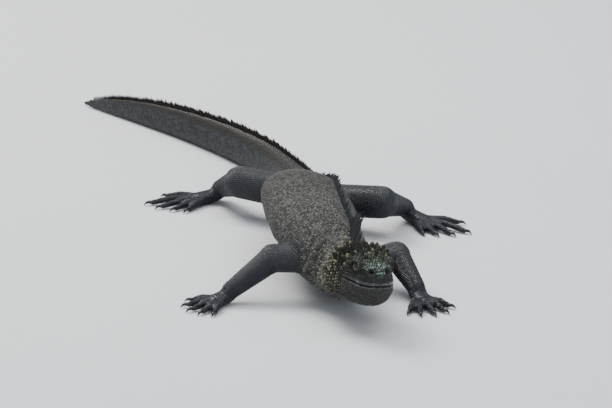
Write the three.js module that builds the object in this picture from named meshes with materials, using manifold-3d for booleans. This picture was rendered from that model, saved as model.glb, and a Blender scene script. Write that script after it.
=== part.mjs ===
// Marine iguana, life size, as a still museum model: an animal as if wading, set down on a flat floor.
// The head looks to the animal's left, the right arm reaches out, the right knee stands up and the tail swings
// to the right. Millimetres, +Z up, the face towards -Y. Nothing moves, so the model has no joints.

import * as THREE from "three";
import { mergeVertices } from "three/addons/utils/BufferGeometryUtils.js";
import Module from "manifold-3d";

const wasm = await Module();
wasm.setup();

// Driving dimensions. Distances along the body are counted from the tip of the snout.
const SNOUT_TO_VENT = 350;
const TAIL_LENGTH = 450;
const TAIL_TIP = SNOUT_TO_VENT + TAIL_LENGTH;
const GAP = 0.3;
const GREATEST_HALF_WIDTH = 56;
const GREATEST_HEIGHT = 70;
const HEAD_HALF_WIDTH = 32.5;
const HEAD_HEIGHT = 77;
const EYE_RADIUS = 6.4;
const TALLEST_SPINE = 29;
const HEAD_ROLL = 7;

// Where the body is parted into nodes, as distances from the snout.
const PARTING = { neck: 64, shoulders: 98, vent: SNOUT_TO_VENT, tail: [460, 570, 685] };

// The way the body heads at each distance, in degrees towards the animal's left of straight ahead.
const HEADING = [
  [0, 22], [90, 22], [130, 17], [170, 11.5], [210, 6], [260, 0.5], [310, 1], [350, 6.5], [400, 15], [450, 23],
  [500, 30], [560, 36], [620, 40.5], [700, 44], [TAIL_TIP, 46],
];
const SNOUT_TIP = { x: 69, y: -4.6 };

// Half width, height of the back and of the belly, and the level of the widest place as a share of the height.
const HALF_WIDTH = [
  [0, 16.5], [14, 20], [22, 22.2], [36, 25.8], [52, HEAD_HALF_WIDTH], [66, 30], [84, 28],
  [104, 34], [125, 42], [150, 48], [200, 54], [245, GREATEST_HALF_WIDTH], [285, 50], [315, 40], [345, 29],
  [380, 22], [440, 15.5], [500, 12.5], [590, 9.5], [670, 7], [750, 4.5], [TAIL_TIP, 1.6],
];
const BACK = [
  [0, 69.5], [14, 73], [36, HEAD_HEIGHT], [50, HEAD_HEIGHT - 0.5], [64, 72.5], [84, 67], [104, 66.5], [130, 69],
  [170, GREATEST_HEIGHT], [235, GREATEST_HEIGHT - 1], [280, 62], [320, 53], [350, 47], [410, 43], [500, 40],
  [590, 36.5], [680, 30], [745, 21], [TAIL_TIP, 7],
];
const BELLY = [
  [0, 36], [14, 29], [36, 25], [60, 22], [84, 16], [104, 8], [130, 1], [150, -1], [250, -1.5], [330, -0.8],
  [360, -0.5], [TAIL_TIP, -0.5],
];
const WIDEST_LEVEL = [[0, 0.42], [100, 0.42], [160, 0.4], [300, 0.4], [380, 0.42], [TAIL_TIP, 0.42]];

// Roundness of the upper and lower half of each section: 2 is an ellipse, less is peaked, more is boxy.
const UPPER_ROUNDNESS = [[0, 2.6], [50, 2.6], [80, 2.1], [160, 1.8], [300, 1.8], [400, 1.9], [TAIL_TIP, 1.9]];
const LOWER_ROUNDNESS = [[0, 2.3], [60, 2.4], [120, 2.4], [300, 2.4], [400, 2.3], [TAIL_TIP, 2.2]];

// The roll of the body onto its left side, in degrees: the right shoulder is up, the tail stands upright.
const ROLL = [
  [0, HEAD_ROLL], [44, HEAD_ROLL], [70, 10], [100, 24], [135, 36], [200, 40], [280, 36], [330, 21], [390, 6],
  [440, 0], [TAIL_TIP, 0],
];

// The blunt snout closes over this length, towards this height.
const SNOUT = { length: 13, bluntness: 2.6, height: 55 };

// Swellings and hollows of the head: distance from the snout, angle from the crown, spreads and height.
const HEAD_RELIEF = [
  { at: 22.5, angle: 40, spread: 9, fan: 9, height: 3.2 }, // brow
  { at: 13, angle: 34, spread: 7, fan: 9, height: 1.0 }, // edge of the snout
  { at: 20.5, angle: 62, spread: 8, fan: 12, height: -2.2 }, // hollow round the eye
  { at: 7, angle: 30, spread: 5, fan: 10, height: 1.4 }, // mound of the nostril
  { at: 52, angle: 108, spread: 11, fan: 22, height: 2.4 }, // jowl
  { at: 20, angle: 96, spread: 16, fan: 7, height: 1.0 }, // lips
];

// Height of the crest above the back, and how far its spines lean back and to the animal's left, in degrees.
const CREST_HEIGHT = [
  [66, 17], [72, 25], [84, TALLEST_SPINE], [100, TALLEST_SPINE], [116, TALLEST_SPINE - 2],
  [124, TALLEST_SPINE - 5], [129, 11], [140, 10.5], [200, 10], [260, 9], [320, 7], [350, 6], [420, 7], [500, 8],
  [640, 8], [730, 6], [TAIL_TIP, 2],
];
const CREST_LEAN_BACK = 26;
const CREST_LEAN_LEFT = [[66, 28], [90, 24], [122, 8], [135, 1], [340, 3], [420, 3], [TAIL_TIP, 2]];

// Values from one to another in equal steps of about the length given.
function steps(from, to, length) {
  const count = Math.max(1, Math.round((to - from) / length));
  return Array.from({ length: count + 1 }, (_, i) => from + ((to - from) * i) / count);
}

// A smooth curve through the rows of a table of [distance, value], which never swings past them.
function along(table, at) {
  const last = table.length - 1;
  if (at <= table[0][0]) return table[0][1];
  if (at >= table[last][0]) return table[last][1];
  const slope = (i) => (table[i + 1][1] - table[i][1]) / (table[i + 1][0] - table[i][0]);
  const tangent = (i) => {
    if (i === 0) return slope(0);
    if (i === last) return slope(last - 1);
    const before = slope(i - 1);
    const after = slope(i);
    return before * after <= 0 ? 0 : (2 * before * after) / (before + after);
  };
  let i = 0;
  while (at > table[i + 1][0]) i += 1;
  const step = table[i + 1][0] - table[i][0];
  const t = (at - table[i][0]) / step;
  return (
    table[i][1] * (1 + 2 * t) * (1 - t) ** 2 +
    tangent(i) * step * t * (1 - t) ** 2 +
    table[i + 1][1] * t * t * (3 - 2 * t) +
    tangent(i + 1) * step * t * t * (t - 1)
  );
}

const radians = THREE.MathUtils.degToRad;

// The line of the body on the floor, walked back from the snout along its heading, one sample a millimetre.
const BODY_LINE = [{ ...SNOUT_TIP }];
for (let s = 0; s < TAIL_TIP + 2; s += 1) {
  const heading = radians(along(HEADING, s + 0.5));
  const { x, y } = BODY_LINE[s];
  BODY_LINE.push({ x: x - Math.sin(heading), y: y + Math.cos(heading) });
}

// The place, heading and sideways direction of the body's line at a distance from the snout.
function bodyLineAt(s) {
  const i = Math.max(0, Math.floor(s));
  const t = s - i;
  const heading = radians(along(HEADING, s));
  return {
    x: BODY_LINE[i].x * (1 - t) + BODY_LINE[i + 1].x * t,
    y: BODY_LINE[i].y * (1 - t) + BODY_LINE[i + 1].y * t,
    right: new THREE.Vector3(-Math.cos(heading), -Math.sin(heading), 0),
    back: new THREE.Vector3(-Math.sin(heading), Math.cos(heading), 0),
  };
}

// Half width, back and belly at a distance, closed over the blunt snout and grown on every side.
function sectionAt(s, grow) {
  const share = Math.min(1, Math.max(0, s / SNOUT.length));
  const cap = (1 - (1 - share) ** SNOUT.bluntness) ** (1 / SNOUT.bluntness);
  return {
    half: along(HALF_WIDTH, s) * cap + grow,
    back: SNOUT.height + (along(BACK, s) - SNOUT.height) * cap + grow,
    belly: SNOUT.height + (along(BELLY, s) - SNOUT.height) * cap - grow,
  };
}

function headRelief(s, angle) {
  const degrees = Math.abs(THREE.MathUtils.radToDeg(angle));
  return HEAD_RELIEF.reduce((sum, lump) => {
    const far = ((s - lump.at) / lump.spread) ** 2 + ((degrees - lump.angle) / lump.fan) ** 2;
    return sum + lump.height * Math.exp(-far);
  }, 0);
}

// A point of the section, rolled about the level of its widest place, as a side step and a height.
function rolledPoint(s, angle, grow) {
  const { half, back, belly } = sectionAt(s, grow);
  const middle = belly + (back - belly) * along(WIDEST_LEVEL, s);
  const up = Math.cos(angle);
  const power = 2 / along(up >= 0 ? UPPER_ROUNDNESS : LOWER_ROUNDNESS, s);
  const swell = 1 + headRelief(s, angle) / Math.max(half, 1);
  const rise = Math.sign(up) * Math.abs(up) ** power * (up >= 0 ? back - middle : middle - belly) * swell;
  const side = Math.sign(Math.sin(angle)) * Math.abs(Math.sin(angle)) ** power * half * swell;
  const roll = radians(along(ROLL, s));
  return {
    side: side * Math.cos(roll) - rise * Math.sin(roll),
    z: middle + rise * Math.cos(roll) + side * Math.sin(roll),
  };
}

// How far each section is lifted, so that its lowest place keeps the level of the belly when it is rolled.
const FULL_TURN = 2 * Math.PI;
const LIFT = steps(0, TAIL_TIP, 10).map((s) => {
  const heights = steps(0, FULL_TURN, 0.1).map((angle) => rolledPoint(s, angle, 0).z);
  return [s, sectionAt(s, 0).belly - Math.min(...heights)];
});

// A point of the body's surface: the angle runs from the ridge of the back towards the animal's right.
function bodyPoint(s, angle, grow = 0) {
  const line = bodyLineAt(s);
  const { side, z } = rolledPoint(s, angle, grow);
  return new THREE.Vector3(line.x, line.y, z + along(LIFT, s)).addScaledVector(line.right, side);
}

// Closed surface through rings of points, one after another, with a fan over each end.
function loft(rings) {
  const sides = rings[0].length;
  const points = rings.flat();
  const ends = [rings[0], rings[rings.length - 1]].map((ring) =>
    ring.reduce((sum, p) => sum.add(p), new THREE.Vector3()).divideScalar(sides),
  );
  const index = [];
  for (let r = 0; r < rings.length - 1; r += 1) {
    for (let i = 0; i < sides; i += 1) {
      const a = r * sides + i;
      const b = r * sides + ((i + 1) % sides);
      index.push(a, b, b + sides, a, b + sides, a + sides);
    }
  }
  const lastRing = (rings.length - 1) * sides;
  for (let i = 0; i < sides; i += 1) {
    const next = (i + 1) % sides;
    index.push(points.length, next, i, points.length + 1, lastRing + i, lastRing + next);
  }
  const geometry = new THREE.BufferGeometry().setFromPoints([...points, ...ends]);
  geometry.setIndex(index);
  return solidOf(geometry);
}

// A solid for joining and cutting, turned to face outwards.
function solidOf(geometry) {
  const bare = geometry.clone();
  bare.deleteAttribute("normal");
  bare.deleteAttribute("uv");
  const merged = mergeVertices(bare, 1e-4);
  const triVerts = new Uint32Array(merged.index.array);
  const vertProperties = new Float32Array(merged.attributes.position.array);
  const make = () => new wasm.Manifold(new wasm.Mesh({ numProp: 3, vertProperties, triVerts }));
  const made = make();
  if (made.volume() > 0) return made;
  for (let i = 0; i < triVerts.length; i += 3) {
    [triVerts[i + 1], triVerts[i + 2]] = [triVerts[i + 2], triVerts[i + 1]];
  }
  return make();
}

function joined(solids) {
  return solids.reduce((sum, solid) => sum.add(solid));
}

// Only the largest closed surface of a solid, cut off flat at the floor.
function largest(solid) {
  const pieces = solid.trimByPlane([0, 0, 1], 0).decompose();
  return pieces.sort((a, b) => b.volume() - a.volume())[0];
}

// A length of the body through sections at the distances given.
function bodyLength(distances, sides, grow = 0) {
  const ring = (s) => Array.from({ length: sides }, (_, i) => bodyPoint(s, (i / sides) * FULL_TURN, grow));
  return loft(distances.map(ring));
}

// Spines of the crest: the distance between roots, the size of a root, how far it is sunk and where the blade
// starts to narrow, as a share of its height.
const CREST_SPACING = { body: 5.4, tail: 8 };
const SPINE = { width: 4.6, thickness: 2.4, sunk: 2.6, blade: 0.62 };

// Numbers from 0 to 1 that look random and are the same each time.
function randomFrom(seed) {
  let state = seed;
  return () => {
    state = (state * 16807) % 2147483647;
    return state / 2147483647;
  };
}
const random = randomFrom(20711);
const varied = (spread) => 1 + spread * (2 * random() - 1);

// A tapering spine of four sides: a root, a shoulder part way up and a tip.
function spine(root, direction, lengthwise, { height, width, thickness, sunk }) {
  const across = new THREE.Vector3().crossVectors(direction, lengthwise).normalize();
  const flat = new THREE.Vector3().crossVectors(across, direction);
  const ring = (up, share) => {
    const centre = root.clone().addScaledVector(direction, up);
    return [
      centre.clone().addScaledVector(flat, (share * width) / 2),
      centre.clone().addScaledVector(across, (share * thickness) / 2),
      centre.clone().addScaledVector(flat, (-share * width) / 2),
      centre.clone().addScaledVector(across, (-share * thickness) / 2),
    ];
  };
  const corners = [...ring(-sunk, 1), ...ring(height * SPINE.blade, 0.72)];
  const tip = root.clone().addScaledVector(direction, height);
  const geometry = new THREE.BufferGeometry().setFromPoints([...corners, tip]);
  const sides = [0, 1, 2, 3].flatMap((i) => {
    const next = (i + 1) % 4;
    return [i, next, next + 4, i, next + 4, i + 4, i + 4, next + 4, 8];
  });
  geometry.setIndex([...sides, 0, 2, 1, 0, 3, 2]);
  return solidOf(geometry);
}

// The spines of the crest whose roots lie between two distances, kept clear of the ends.
function crestSpines(from, to, spacing) {
  return steps(from, to, spacing).map((s) => {
    const height = along(CREST_HEIGHT, s) * varied(0.09);
    const slim = Math.min(1, 0.45 + height / 18);
    const width = SPINE.width * slim * varied(0.08);
    const size = { height, width, thickness: SPINE.thickness * slim, sunk: SPINE.sunk };
    return spine(bodyPoint(s, 0), crestDirection(s), bodyLineAt(s).back, size);
  });
}

// The way a spine of the crest points: off the rolled ridge, leaning back and to the animal's left.
function crestDirection(s) {
  const line = bodyLineAt(s);
  const tilt = radians(along(ROLL, s) + along(CREST_LEAN_LEFT, s));
  return new THREE.Vector3(0, 0, Math.cos(tilt))
    .addScaledVector(line.right, -Math.sin(tilt))
    .addScaledVector(line.back, Math.tan(radians(CREST_LEAN_BACK)))
    .normalize();
}

// Rings that close the end of a tube: how far past the end each lies and how wide it is, in radii.
const ROUND_END = [[0.9, 0.44], [0.6, 0.8]];
const BLUNT_END = [[0.6, 0.7]];

// A tube through points with a radius at each, flatter than it is wide by its flatness, with round ends.
function tube(points, radii, { sides = 12, spans = 3, flatness = 1, grow = 0, ends = ROUND_END } = {}) {
  const curve = new THREE.CatmullRomCurve3(points, false, "centripetal");
  const count = (points.length - 1) * spans;
  const rings = [];
  const ring = (t, shift, scale) => {
    const along01 = t * (points.length - 1);
    const i = Math.min(points.length - 2, Math.floor(along01));
    const radius = radii[i] + (radii[i + 1] - radii[i]) * (along01 - i) + grow;
    const forward = curve.getTangent(t);
    const across = new THREE.Vector3().crossVectors(forward, new THREE.Vector3(0, 0, 1)).normalize();
    const over = new THREE.Vector3().crossVectors(across, forward);
    const centre = curve.getPoint(t).addScaledVector(forward, shift * radius);
    return Array.from({ length: sides }, (_, k) => {
      const angle = (k / sides) * 2 * Math.PI;
      return centre
        .clone()
        .addScaledVector(across, Math.sin(angle) * radius * scale)
        .addScaledVector(over, Math.cos(angle) * radius * scale * flatness);
    });
  };
  ends.forEach(([shift, scale]) => rings.push(ring(0, -shift, scale)));
  for (let i = 0; i <= count; i += 1) rings.push(ring(i / count, 0, 1));
  [...ends].reverse().forEach(([shift, scale]) => rings.push(ring(1, shift, scale)));
  return loft(rings);
}

// A ball stretched along the three axes.
function ellipsoid(centre, size, detail = 12) {
  const geometry = new THREE.SphereGeometry(1, detail, Math.round(detail / 2));
  geometry.scale(size.x, size.y, size.z);
  geometry.translate(centre.x, centre.y, centre.z);
  return solidOf(geometry);
}

const nodes = {};
const PAINT = {
  back: { color: 0x4b4d49, roughness: 0.75 },
  head: { color: 0x39402f, roughness: 0.7 },
  limb: { color: 0x2a3038, roughness: 0.45 },
  tail: { color: 0x26282a, roughness: 0.5 },
  eye: { color: 0x1b120b, roughness: 0.1 },
};

function addNode(name, solid, paint) {
  nodes[name] = { solid: largest(solid), paint };
}

// Neck, torso and the four lengths of the tail, each with its stretch of the crest, short of the ends.
const END_CLEARANCE = 3;
const LENGTHS = [
  { name: "neck", from: PARTING.neck, to: PARTING.shoulders, step: 6, sides: 28, paint: PAINT.back },
  { name: "torso", from: PARTING.shoulders, to: PARTING.vent, step: 12, sides: 28, paint: PAINT.back },
  { name: "tail_base", from: PARTING.vent, to: PARTING.tail[0], step: 14, sides: 20, paint: PAINT.tail },
  { name: "tail_fore", from: PARTING.tail[0], to: PARTING.tail[1], step: 14, sides: 14, paint: PAINT.tail },
  { name: "tail_rear", from: PARTING.tail[1], to: PARTING.tail[2], step: 16, sides: 12, paint: PAINT.tail },
  { name: "tail_tip", from: PARTING.tail[2], to: TAIL_TIP, step: 14, sides: 10, paint: PAINT.tail },
];
for (const { name, from, to, step, sides, paint } of LENGTHS) {
  const distances = steps(from + GAP / 2, to - GAP / 2, step);
  const spacing = from < PARTING.vent ? CREST_SPACING.body : CREST_SPACING.tail;
  const spines = crestSpines(from + END_CLEARANCE, to - END_CLEARANCE, spacing);
  addNode(name, joined([bodyLength(distances, sides), ...spines]), paint);
}

// Head: the snout to the neck, with eyes, lids, nostrils, ears and the line of the mouth. Its own directions are
// rolled with it about a line at the height given, and places are named before the roll.
const ROLL_HEIGHT = 48;
const HEAD_LINE = bodyLineAt(0);
const HEAD_RIGHT = HEAD_LINE.right.clone().applyAxisAngle(HEAD_LINE.back, radians(HEAD_ROLL));
const HEAD_UP = new THREE.Vector3(0, 0, 1).applyAxisAngle(HEAD_LINE.back, radians(HEAD_ROLL));
const headPoint = (behindSnout, side, z) =>
  new THREE.Vector3(HEAD_LINE.x, HEAD_LINE.y, ROLL_HEIGHT + along(LIFT, behindSnout))
    .addScaledVector(HEAD_LINE.back, behindSnout)
    .addScaledVector(HEAD_RIGHT, side)
    .addScaledVector(HEAD_UP, z - ROLL_HEIGHT);

const EYE = { behindSnout: 20.5, side: 15, height: 66.5 };
const NOSTRIL = { behindSnout: 4.6, side: 8, height: 66, radius: 2.4 };
const EAR = { behindSnout: 57, side: 31.5, height: 52, radius: 4 };
const MOUTH = { front: 53, corner: 52, cornerBehindSnout: 35, gap: 0.6 };
const LID = { radius: 5.4, thickness: 1.7, stretch: 1.08, squeeze: 0.84, out: 4.4, ahead: 0.22, up: 0.12 };
const SIDES = { right: 1, left: -1 };

// The lids: a flattened ring round the opening of the eye, which faces out, a little up and a little ahead.
function lids(sign) {
  const outward = HEAD_RIGHT.clone()
    .multiplyScalar(sign)
    .addScaledVector(HEAD_LINE.back, -LID.ahead)
    .addScaledVector(HEAD_UP, LID.up)
    .normalize();
  const geometry = new THREE.TorusGeometry(LID.radius, LID.thickness, 5, 12);
  geometry.scale(LID.stretch, LID.squeeze, 1);
  geometry.applyMatrix4(new THREE.Matrix4().lookAt(outward, new THREE.Vector3(), HEAD_UP));
  const centre = headPoint(EYE.behindSnout, EYE.side * sign, EYE.height);
  centre.addScaledVector(outward, LID.out);
  geometry.translate(centre.x, centre.y, centre.z);
  return solidOf(geometry);
}

// A block behind the head's end, which trims what leans over it.
const COLLAR = { width: 200, length: 60, height: 200 };
function collarBehindHead() {
  const geometry = new THREE.BoxGeometry(COLLAR.width, COLLAR.length, COLLAR.height);
  geometry.rotateZ(Math.atan2(HEAD_LINE.back.y, HEAD_LINE.back.x) - Math.PI / 2);
  const middle = headPoint(PARTING.neck - GAP / 2 + COLLAR.length / 2, 0, COLLAR.height / 2);
  geometry.translate(middle.x, middle.y, middle.z);
  return solidOf(geometry);
}

// The prism that holds the lower jaw, seen from the side as an outline, grown by the gap of the mouth.
const JAW = { angleBehindSnout: 48, angleHeight: 42, throatBehindSnout: 54, outside: -20, width: 120 };
function jawPrism(grow) {
  const outline = new THREE.Shape([
    new THREE.Vector2(JAW.outside, MOUTH.front + grow),
    new THREE.Vector2(MOUTH.cornerBehindSnout + grow, MOUTH.corner + grow),
    new THREE.Vector2(JAW.angleBehindSnout + grow, JAW.angleHeight),
    new THREE.Vector2(JAW.throatBehindSnout + grow, JAW.outside),
    new THREE.Vector2(JAW.outside, JAW.outside),
  ]);
  const geometry = new THREE.ExtrudeGeometry(outline, { depth: JAW.width, bevelEnabled: false });
  geometry.translate(0, 0, -JAW.width / 2);
  const across = new THREE.Vector3().crossVectors(HEAD_LINE.back, HEAD_UP);
  geometry.applyMatrix4(new THREE.Matrix4().makeBasis(HEAD_LINE.back, HEAD_UP, across));
  const origin = headPoint(0, 0, 0);
  geometry.translate(origin.x, origin.y, origin.z);
  return solidOf(geometry);
}

// Crown: staggered rows of blunt cones from behind the nostrils to the nape, small on the snout and tall behind
// the eyes. Each row spans the same angle on both sides of the ridge and its cones get lower towards the ends.
const CONE_HEIGHT = [[8, 1.6], [22, 2.4], [34, 5], [46, 6.8], [56, 5.6], [62, 4]];
const CROWN = { from: 9, to: 60, span: radians(58), lengthwise: 8.5, across: 8.9, stagger: 0.25, middle: 44 };
const CONE = { sunk: 1.6, narrowest: 2.6, widening: 0.42, widest: 4.8, leanBack: 0.35, lowering: 0.45 };
const cones = steps(CROWN.from, CROWN.to, CROWN.lengthwise).flatMap((distance, row) => {
  const count = Math.round((2 * CROWN.span * along(HALF_WIDTH, distance)) / CROWN.across);
  const shift = 0.5 + CROWN.stagger * (row % 2 ? 1 : -1);
  return steps(0, count - 1, 1).map((i) => {
    const angle = CROWN.span * ((2 * (i + shift)) / count - 1) + radians(2) * (2 * random() - 1);
    const root = bodyPoint(distance + 2 * random() - 1, angle);
    const outward = root.clone().sub(headPoint(distance, 0, CROWN.middle)).normalize();
    const direction = outward.addScaledVector(HEAD_LINE.back, CONE.leanBack).normalize();
    const lowered = 1 - CONE.lowering * (angle / CROWN.span) ** 2;
    const height = along(CONE_HEIGHT, distance) * lowered * varied(0.2);
    const width = Math.min(CONE.widest, CONE.narrowest + height * CONE.widening);
    return spine(root, direction, HEAD_LINE.back, { height, width, thickness: width, sunk: CONE.sunk });
  });
});

const HEAD_SECTIONS = [0.3, 1.2, 3, 5.5, ...steps(8, PARTING.neck - GAP / 2, 3.2)];
let skull = joined([bodyLength(HEAD_SECTIONS, 36), lids(SIDES.right), lids(SIDES.left), ...cones]);
for (const sign of Object.values(SIDES)) {
  const socket = headPoint(EYE.behindSnout, EYE.side * sign, EYE.height);
  const reach = EYE_RADIUS + GAP;
  skull = skull.subtract(ellipsoid(socket, new THREE.Vector3(reach, reach, reach), 14));
  const nostril = headPoint(NOSTRIL.behindSnout, NOSTRIL.side * sign, NOSTRIL.height);
  skull = skull.subtract(ellipsoid(nostril, new THREE.Vector3(1, 1, 1).multiplyScalar(NOSTRIL.radius), 8));
  const ear = headPoint(EAR.behindSnout, EAR.side * sign, EAR.height);
  skull = skull.subtract(ellipsoid(ear, new THREE.Vector3(1, 1, 1).multiplyScalar(EAR.radius), 10));
}
skull = skull.subtract(collarBehindHead());
addNode("head", skull.subtract(jawPrism(MOUTH.gap)), PAINT.head);
addNode("lower_jaw", skull.intersect(jawPrism(0)), PAINT.head);
for (const [side, sign] of Object.entries(SIDES)) {
  const centre = headPoint(EYE.behindSnout, EYE.side * sign, EYE.height);
  const size = new THREE.Vector3(EYE_RADIUS, EYE_RADIUS, EYE_RADIUS);
  addNode(`eye_${side}`, ellipsoid(centre, size, 14), PAINT.eye);
}

// Limbs. Each joint is a place over the floor; a foot points from its last joint along its own heading.
const DIGITS = {
  hand: [
    { splay: -38, length: 17, start: -8 },
    { splay: -16, length: 22, start: -4.5 },
    { splay: 2, length: 25, start: 0 },
    { splay: 20, length: 24, start: 4.5 },
    { splay: 46, length: 18, start: 8 },
  ],
  foot: [
    { splay: -30, length: 20, start: -8 },
    { splay: -13, length: 29, start: -4.5 },
    { splay: 0, length: 39, start: 0 },
    { splay: 13, length: 46, start: 4.5 },
    { splay: 42, length: 30, start: 8 },
  ],
};
const ARM = {
  names: ["upper_arm", "forearm", "hand"],
  radii: [14, 14.5, 13.8, 9.5],
  palm: 17,
  digits: DIGITS.hand,
};
const LEG = {
  names: ["thigh", "shank", "foot"],
  radii: [17, 17, 15.5, 9.5],
  palm: 24,
  digits: DIGITS.foot,
};
const at = (x, y, z) => new THREE.Vector3(x, y, z);
const LIMBS = [
  { ...ARM, side: "right", root: at(8, 102, 42), bend: at(-32, 108, 41), end: at(-73, 93, 13), points: 56 },
  { ...ARM, side: "left", root: at(46, 116, 28), bend: at(88, 137, 33), end: at(107, 100, 13), points: 20 },
  { ...LEG, side: "right", root: at(-4, 316, 32), bend: at(-67, 343, 37), end: at(-88, 389, 14), points: 68 },
  { ...LEG, side: "left", root: at(14, 318, 27), bend: at(76, 284, 36), end: at(101, 331, 14), points: 44 },
];

const PALM = { heelHeight: 8.4, heelAhead: 4, ballHeight: 5.9, radii: [9, 9.5, 9.5], flatness: 0.72 };
const DIGIT = { knuckleAt: 0.5, knuckleHeight: 6, tipHeight: 2.9, radii: [4, 3.8, 3.1] };
const CLAW = { length: 9, kneeAt: 4.6, kneeRise: 0.6, tipHeight: 0.7, radii: [2, 1.6, 0.5] };

// A claw: a curved cone from the end of a digit down to the floor.
function claw(from, forward) {
  const tip = from.clone().addScaledVector(forward, CLAW.length).setZ(CLAW.tipHeight);
  const knee = from.clone().addScaledVector(forward, CLAW.kneeAt).setZ(from.z + CLAW.kneeRise);
  return tube([from, knee, tip], CLAW.radii, { sides: 5, spans: 1, ends: [] });
}

// Palm or sole with its digits. The heading is degrees from straight ahead, towards the limb's own side.
function paw({ end, points, palm, digits, side }) {
  const sign = SIDES[side];
  const turned = (degrees) => {
    const angle = radians(points + degrees);
    return new THREE.Vector3(-sign * Math.sin(angle), -Math.cos(angle), 0);
  };
  const forward = turned(0);
  const outward = turned(90);
  const heel = end.clone().setZ(PALM.heelHeight).addScaledVector(forward, PALM.heelAhead);
  const ball = end.clone().addScaledVector(forward, palm).setZ(PALM.ballHeight);
  const pieces = [tube([end, heel, ball], PALM.radii, { sides: 9, spans: 2, flatness: PALM.flatness })];
  for (const { splay, length, start } of digits) {
    const way = turned(splay);
    const root = ball.clone().addScaledVector(outward, start);
    const knuckle = root.clone().addScaledVector(way, length * DIGIT.knuckleAt).setZ(DIGIT.knuckleHeight);
    const tip = root.clone().addScaledVector(way, length).setZ(DIGIT.tipHeight);
    pieces.push(tube([root, knuckle, tip], DIGIT.radii, { sides: 6, spans: 1, ends: BLUNT_END }));
    pieces.push(claw(tip, way));
  }
  return joined(pieces);
}

// What the limbs are cut by: the lengths they grow from, a gap larger on every side and run into each other.
const OVERRUN = 0.5;
const TRUNK = joined(
  LENGTHS.slice(0, 3).map(({ from, to, step, sides }) => {
    const inner = steps(from + GAP / 2, to - GAP / 2, step);
    return bodyLength([from - OVERRUN, ...inner, to + OVERRUN], sides, GAP);
  }),
);
for (const limb of LIMBS) {
  const { names, radii, side, root, bend, end } = limb;
  const upper = (grow) => tube([root, bend], radii.slice(0, 2), { grow, spans: 4 });
  const lower = (grow) => tube([bend, end], radii.slice(2), { grow, spans: 4 });
  addNode(`${names[0]}_${side}`, upper(0).subtract(TRUNK), PAINT.limb);
  addNode(`${names[1]}_${side}`, lower(0).subtract(upper(GAP)).subtract(TRUNK), PAINT.limb);
  addNode(`${names[2]}_${side}`, paw(limb).subtract(lower(GAP)), PAINT.limb);
}

// The nodes as meshes, with the origin on the floor under the middle of the whole model.
const iguana = new THREE.Group();
for (const [name, { solid, paint }] of Object.entries(nodes)) {
  const { numProp, vertProperties, triVerts } = solid.getMesh();
  const corners = Array.from({ length: vertProperties.length / numProp }, (_, i) =>
    new THREE.Vector3().fromArray(vertProperties, i * numProp),
  );
  const geometry = new THREE.BufferGeometry().setFromPoints(corners);
  geometry.setIndex(new THREE.BufferAttribute(triVerts, 1));
  geometry.computeVertexNormals();
  const mesh = new THREE.Mesh(geometry, new THREE.MeshStandardMaterial({ ...paint, metalness: 0 }));
  mesh.name = name;
  iguana.add(mesh);
}
const extent = new THREE.Box3().setFromObject(iguana);
iguana.position.set(-(extent.min.x + extent.max.x) / 2, -(extent.min.y + extent.max.y) / 2, -extent.min.z);

export default iguana;
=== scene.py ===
"""A marine iguana as a still, life-size model: one skin with its scales, crest, crown, eyes and claws.

Lengths are millimetres until a mesh is made, with the floor at zero height and the face towards -Y. Distances
along the body, called s, are counted from the tip of the snout.
"""

import bmesh
import bpy
import numpy as np
from mathutils.bvhtree import BVHTree
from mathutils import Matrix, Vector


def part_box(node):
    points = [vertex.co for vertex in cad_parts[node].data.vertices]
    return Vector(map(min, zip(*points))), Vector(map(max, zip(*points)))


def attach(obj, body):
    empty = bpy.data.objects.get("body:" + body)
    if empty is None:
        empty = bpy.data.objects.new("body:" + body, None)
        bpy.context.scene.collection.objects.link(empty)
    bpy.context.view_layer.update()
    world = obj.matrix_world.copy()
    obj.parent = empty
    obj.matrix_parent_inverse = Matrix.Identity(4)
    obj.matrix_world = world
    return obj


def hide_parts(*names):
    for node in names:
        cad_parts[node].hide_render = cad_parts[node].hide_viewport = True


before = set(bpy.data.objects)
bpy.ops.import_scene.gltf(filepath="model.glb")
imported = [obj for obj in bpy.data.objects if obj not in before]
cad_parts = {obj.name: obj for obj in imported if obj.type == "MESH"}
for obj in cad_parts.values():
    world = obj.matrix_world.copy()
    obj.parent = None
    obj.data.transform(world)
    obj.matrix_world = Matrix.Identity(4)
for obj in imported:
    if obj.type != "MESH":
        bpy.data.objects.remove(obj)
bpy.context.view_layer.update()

METRE = 0.001
UP = np.array([0.0, 0.0, 1.0])
TURN = 2 * np.pi
SIDES = (1, -1)
rng = np.random.default_rng(4071)

# Shape of the body, as tables of distance from the snout and value
TAIL_TIP = 800.0
SNOUT_TIP = np.array([69.0, -4.6])
HEAD_ROLL = 7.0
ROLL_HEIGHT = 48.0
HEADING = [
    (0, 22), (90, 22), (130, 17), (170, 11.5), (210, 6), (260, 0.5), (310, 1), (350, 6.5), (400, 15),
    (450, 23), (500, 30), (560, 36), (620, 40.5), (700, 44), (TAIL_TIP, 46),
]
HALF_WIDTH = [
    (0, 16.5), (14, 20), (22, 22.2), (36, 25.8), (52, 32.5), (66, 30), (84, 28), (104, 34), (125, 42),
    (150, 48), (200, 54), (245, 56), (285, 50), (315, 40), (345, 29), (380, 22), (440, 15.5), (500, 12.5),
    (590, 9.5), (670, 7), (750, 4.5), (TAIL_TIP, 1.6),
]
BACK = [
    (0, 69.5), (14, 73), (36, 77), (50, 76.5), (64, 72.5), (84, 67), (104, 66.5), (130, 69), (170, 70),
    (235, 69), (280, 62), (320, 53), (350, 47), (410, 43), (500, 40), (590, 36.5), (680, 30), (745, 21),
    (TAIL_TIP, 7),
]
BELLY = [
    (0, 36), (14, 29), (36, 25), (60, 22), (84, 16), (104, 8), (130, 1), (150, -1), (250, -1.5), (330, -0.8),
    (360, -0.5), (TAIL_TIP, -0.5),
]
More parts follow.
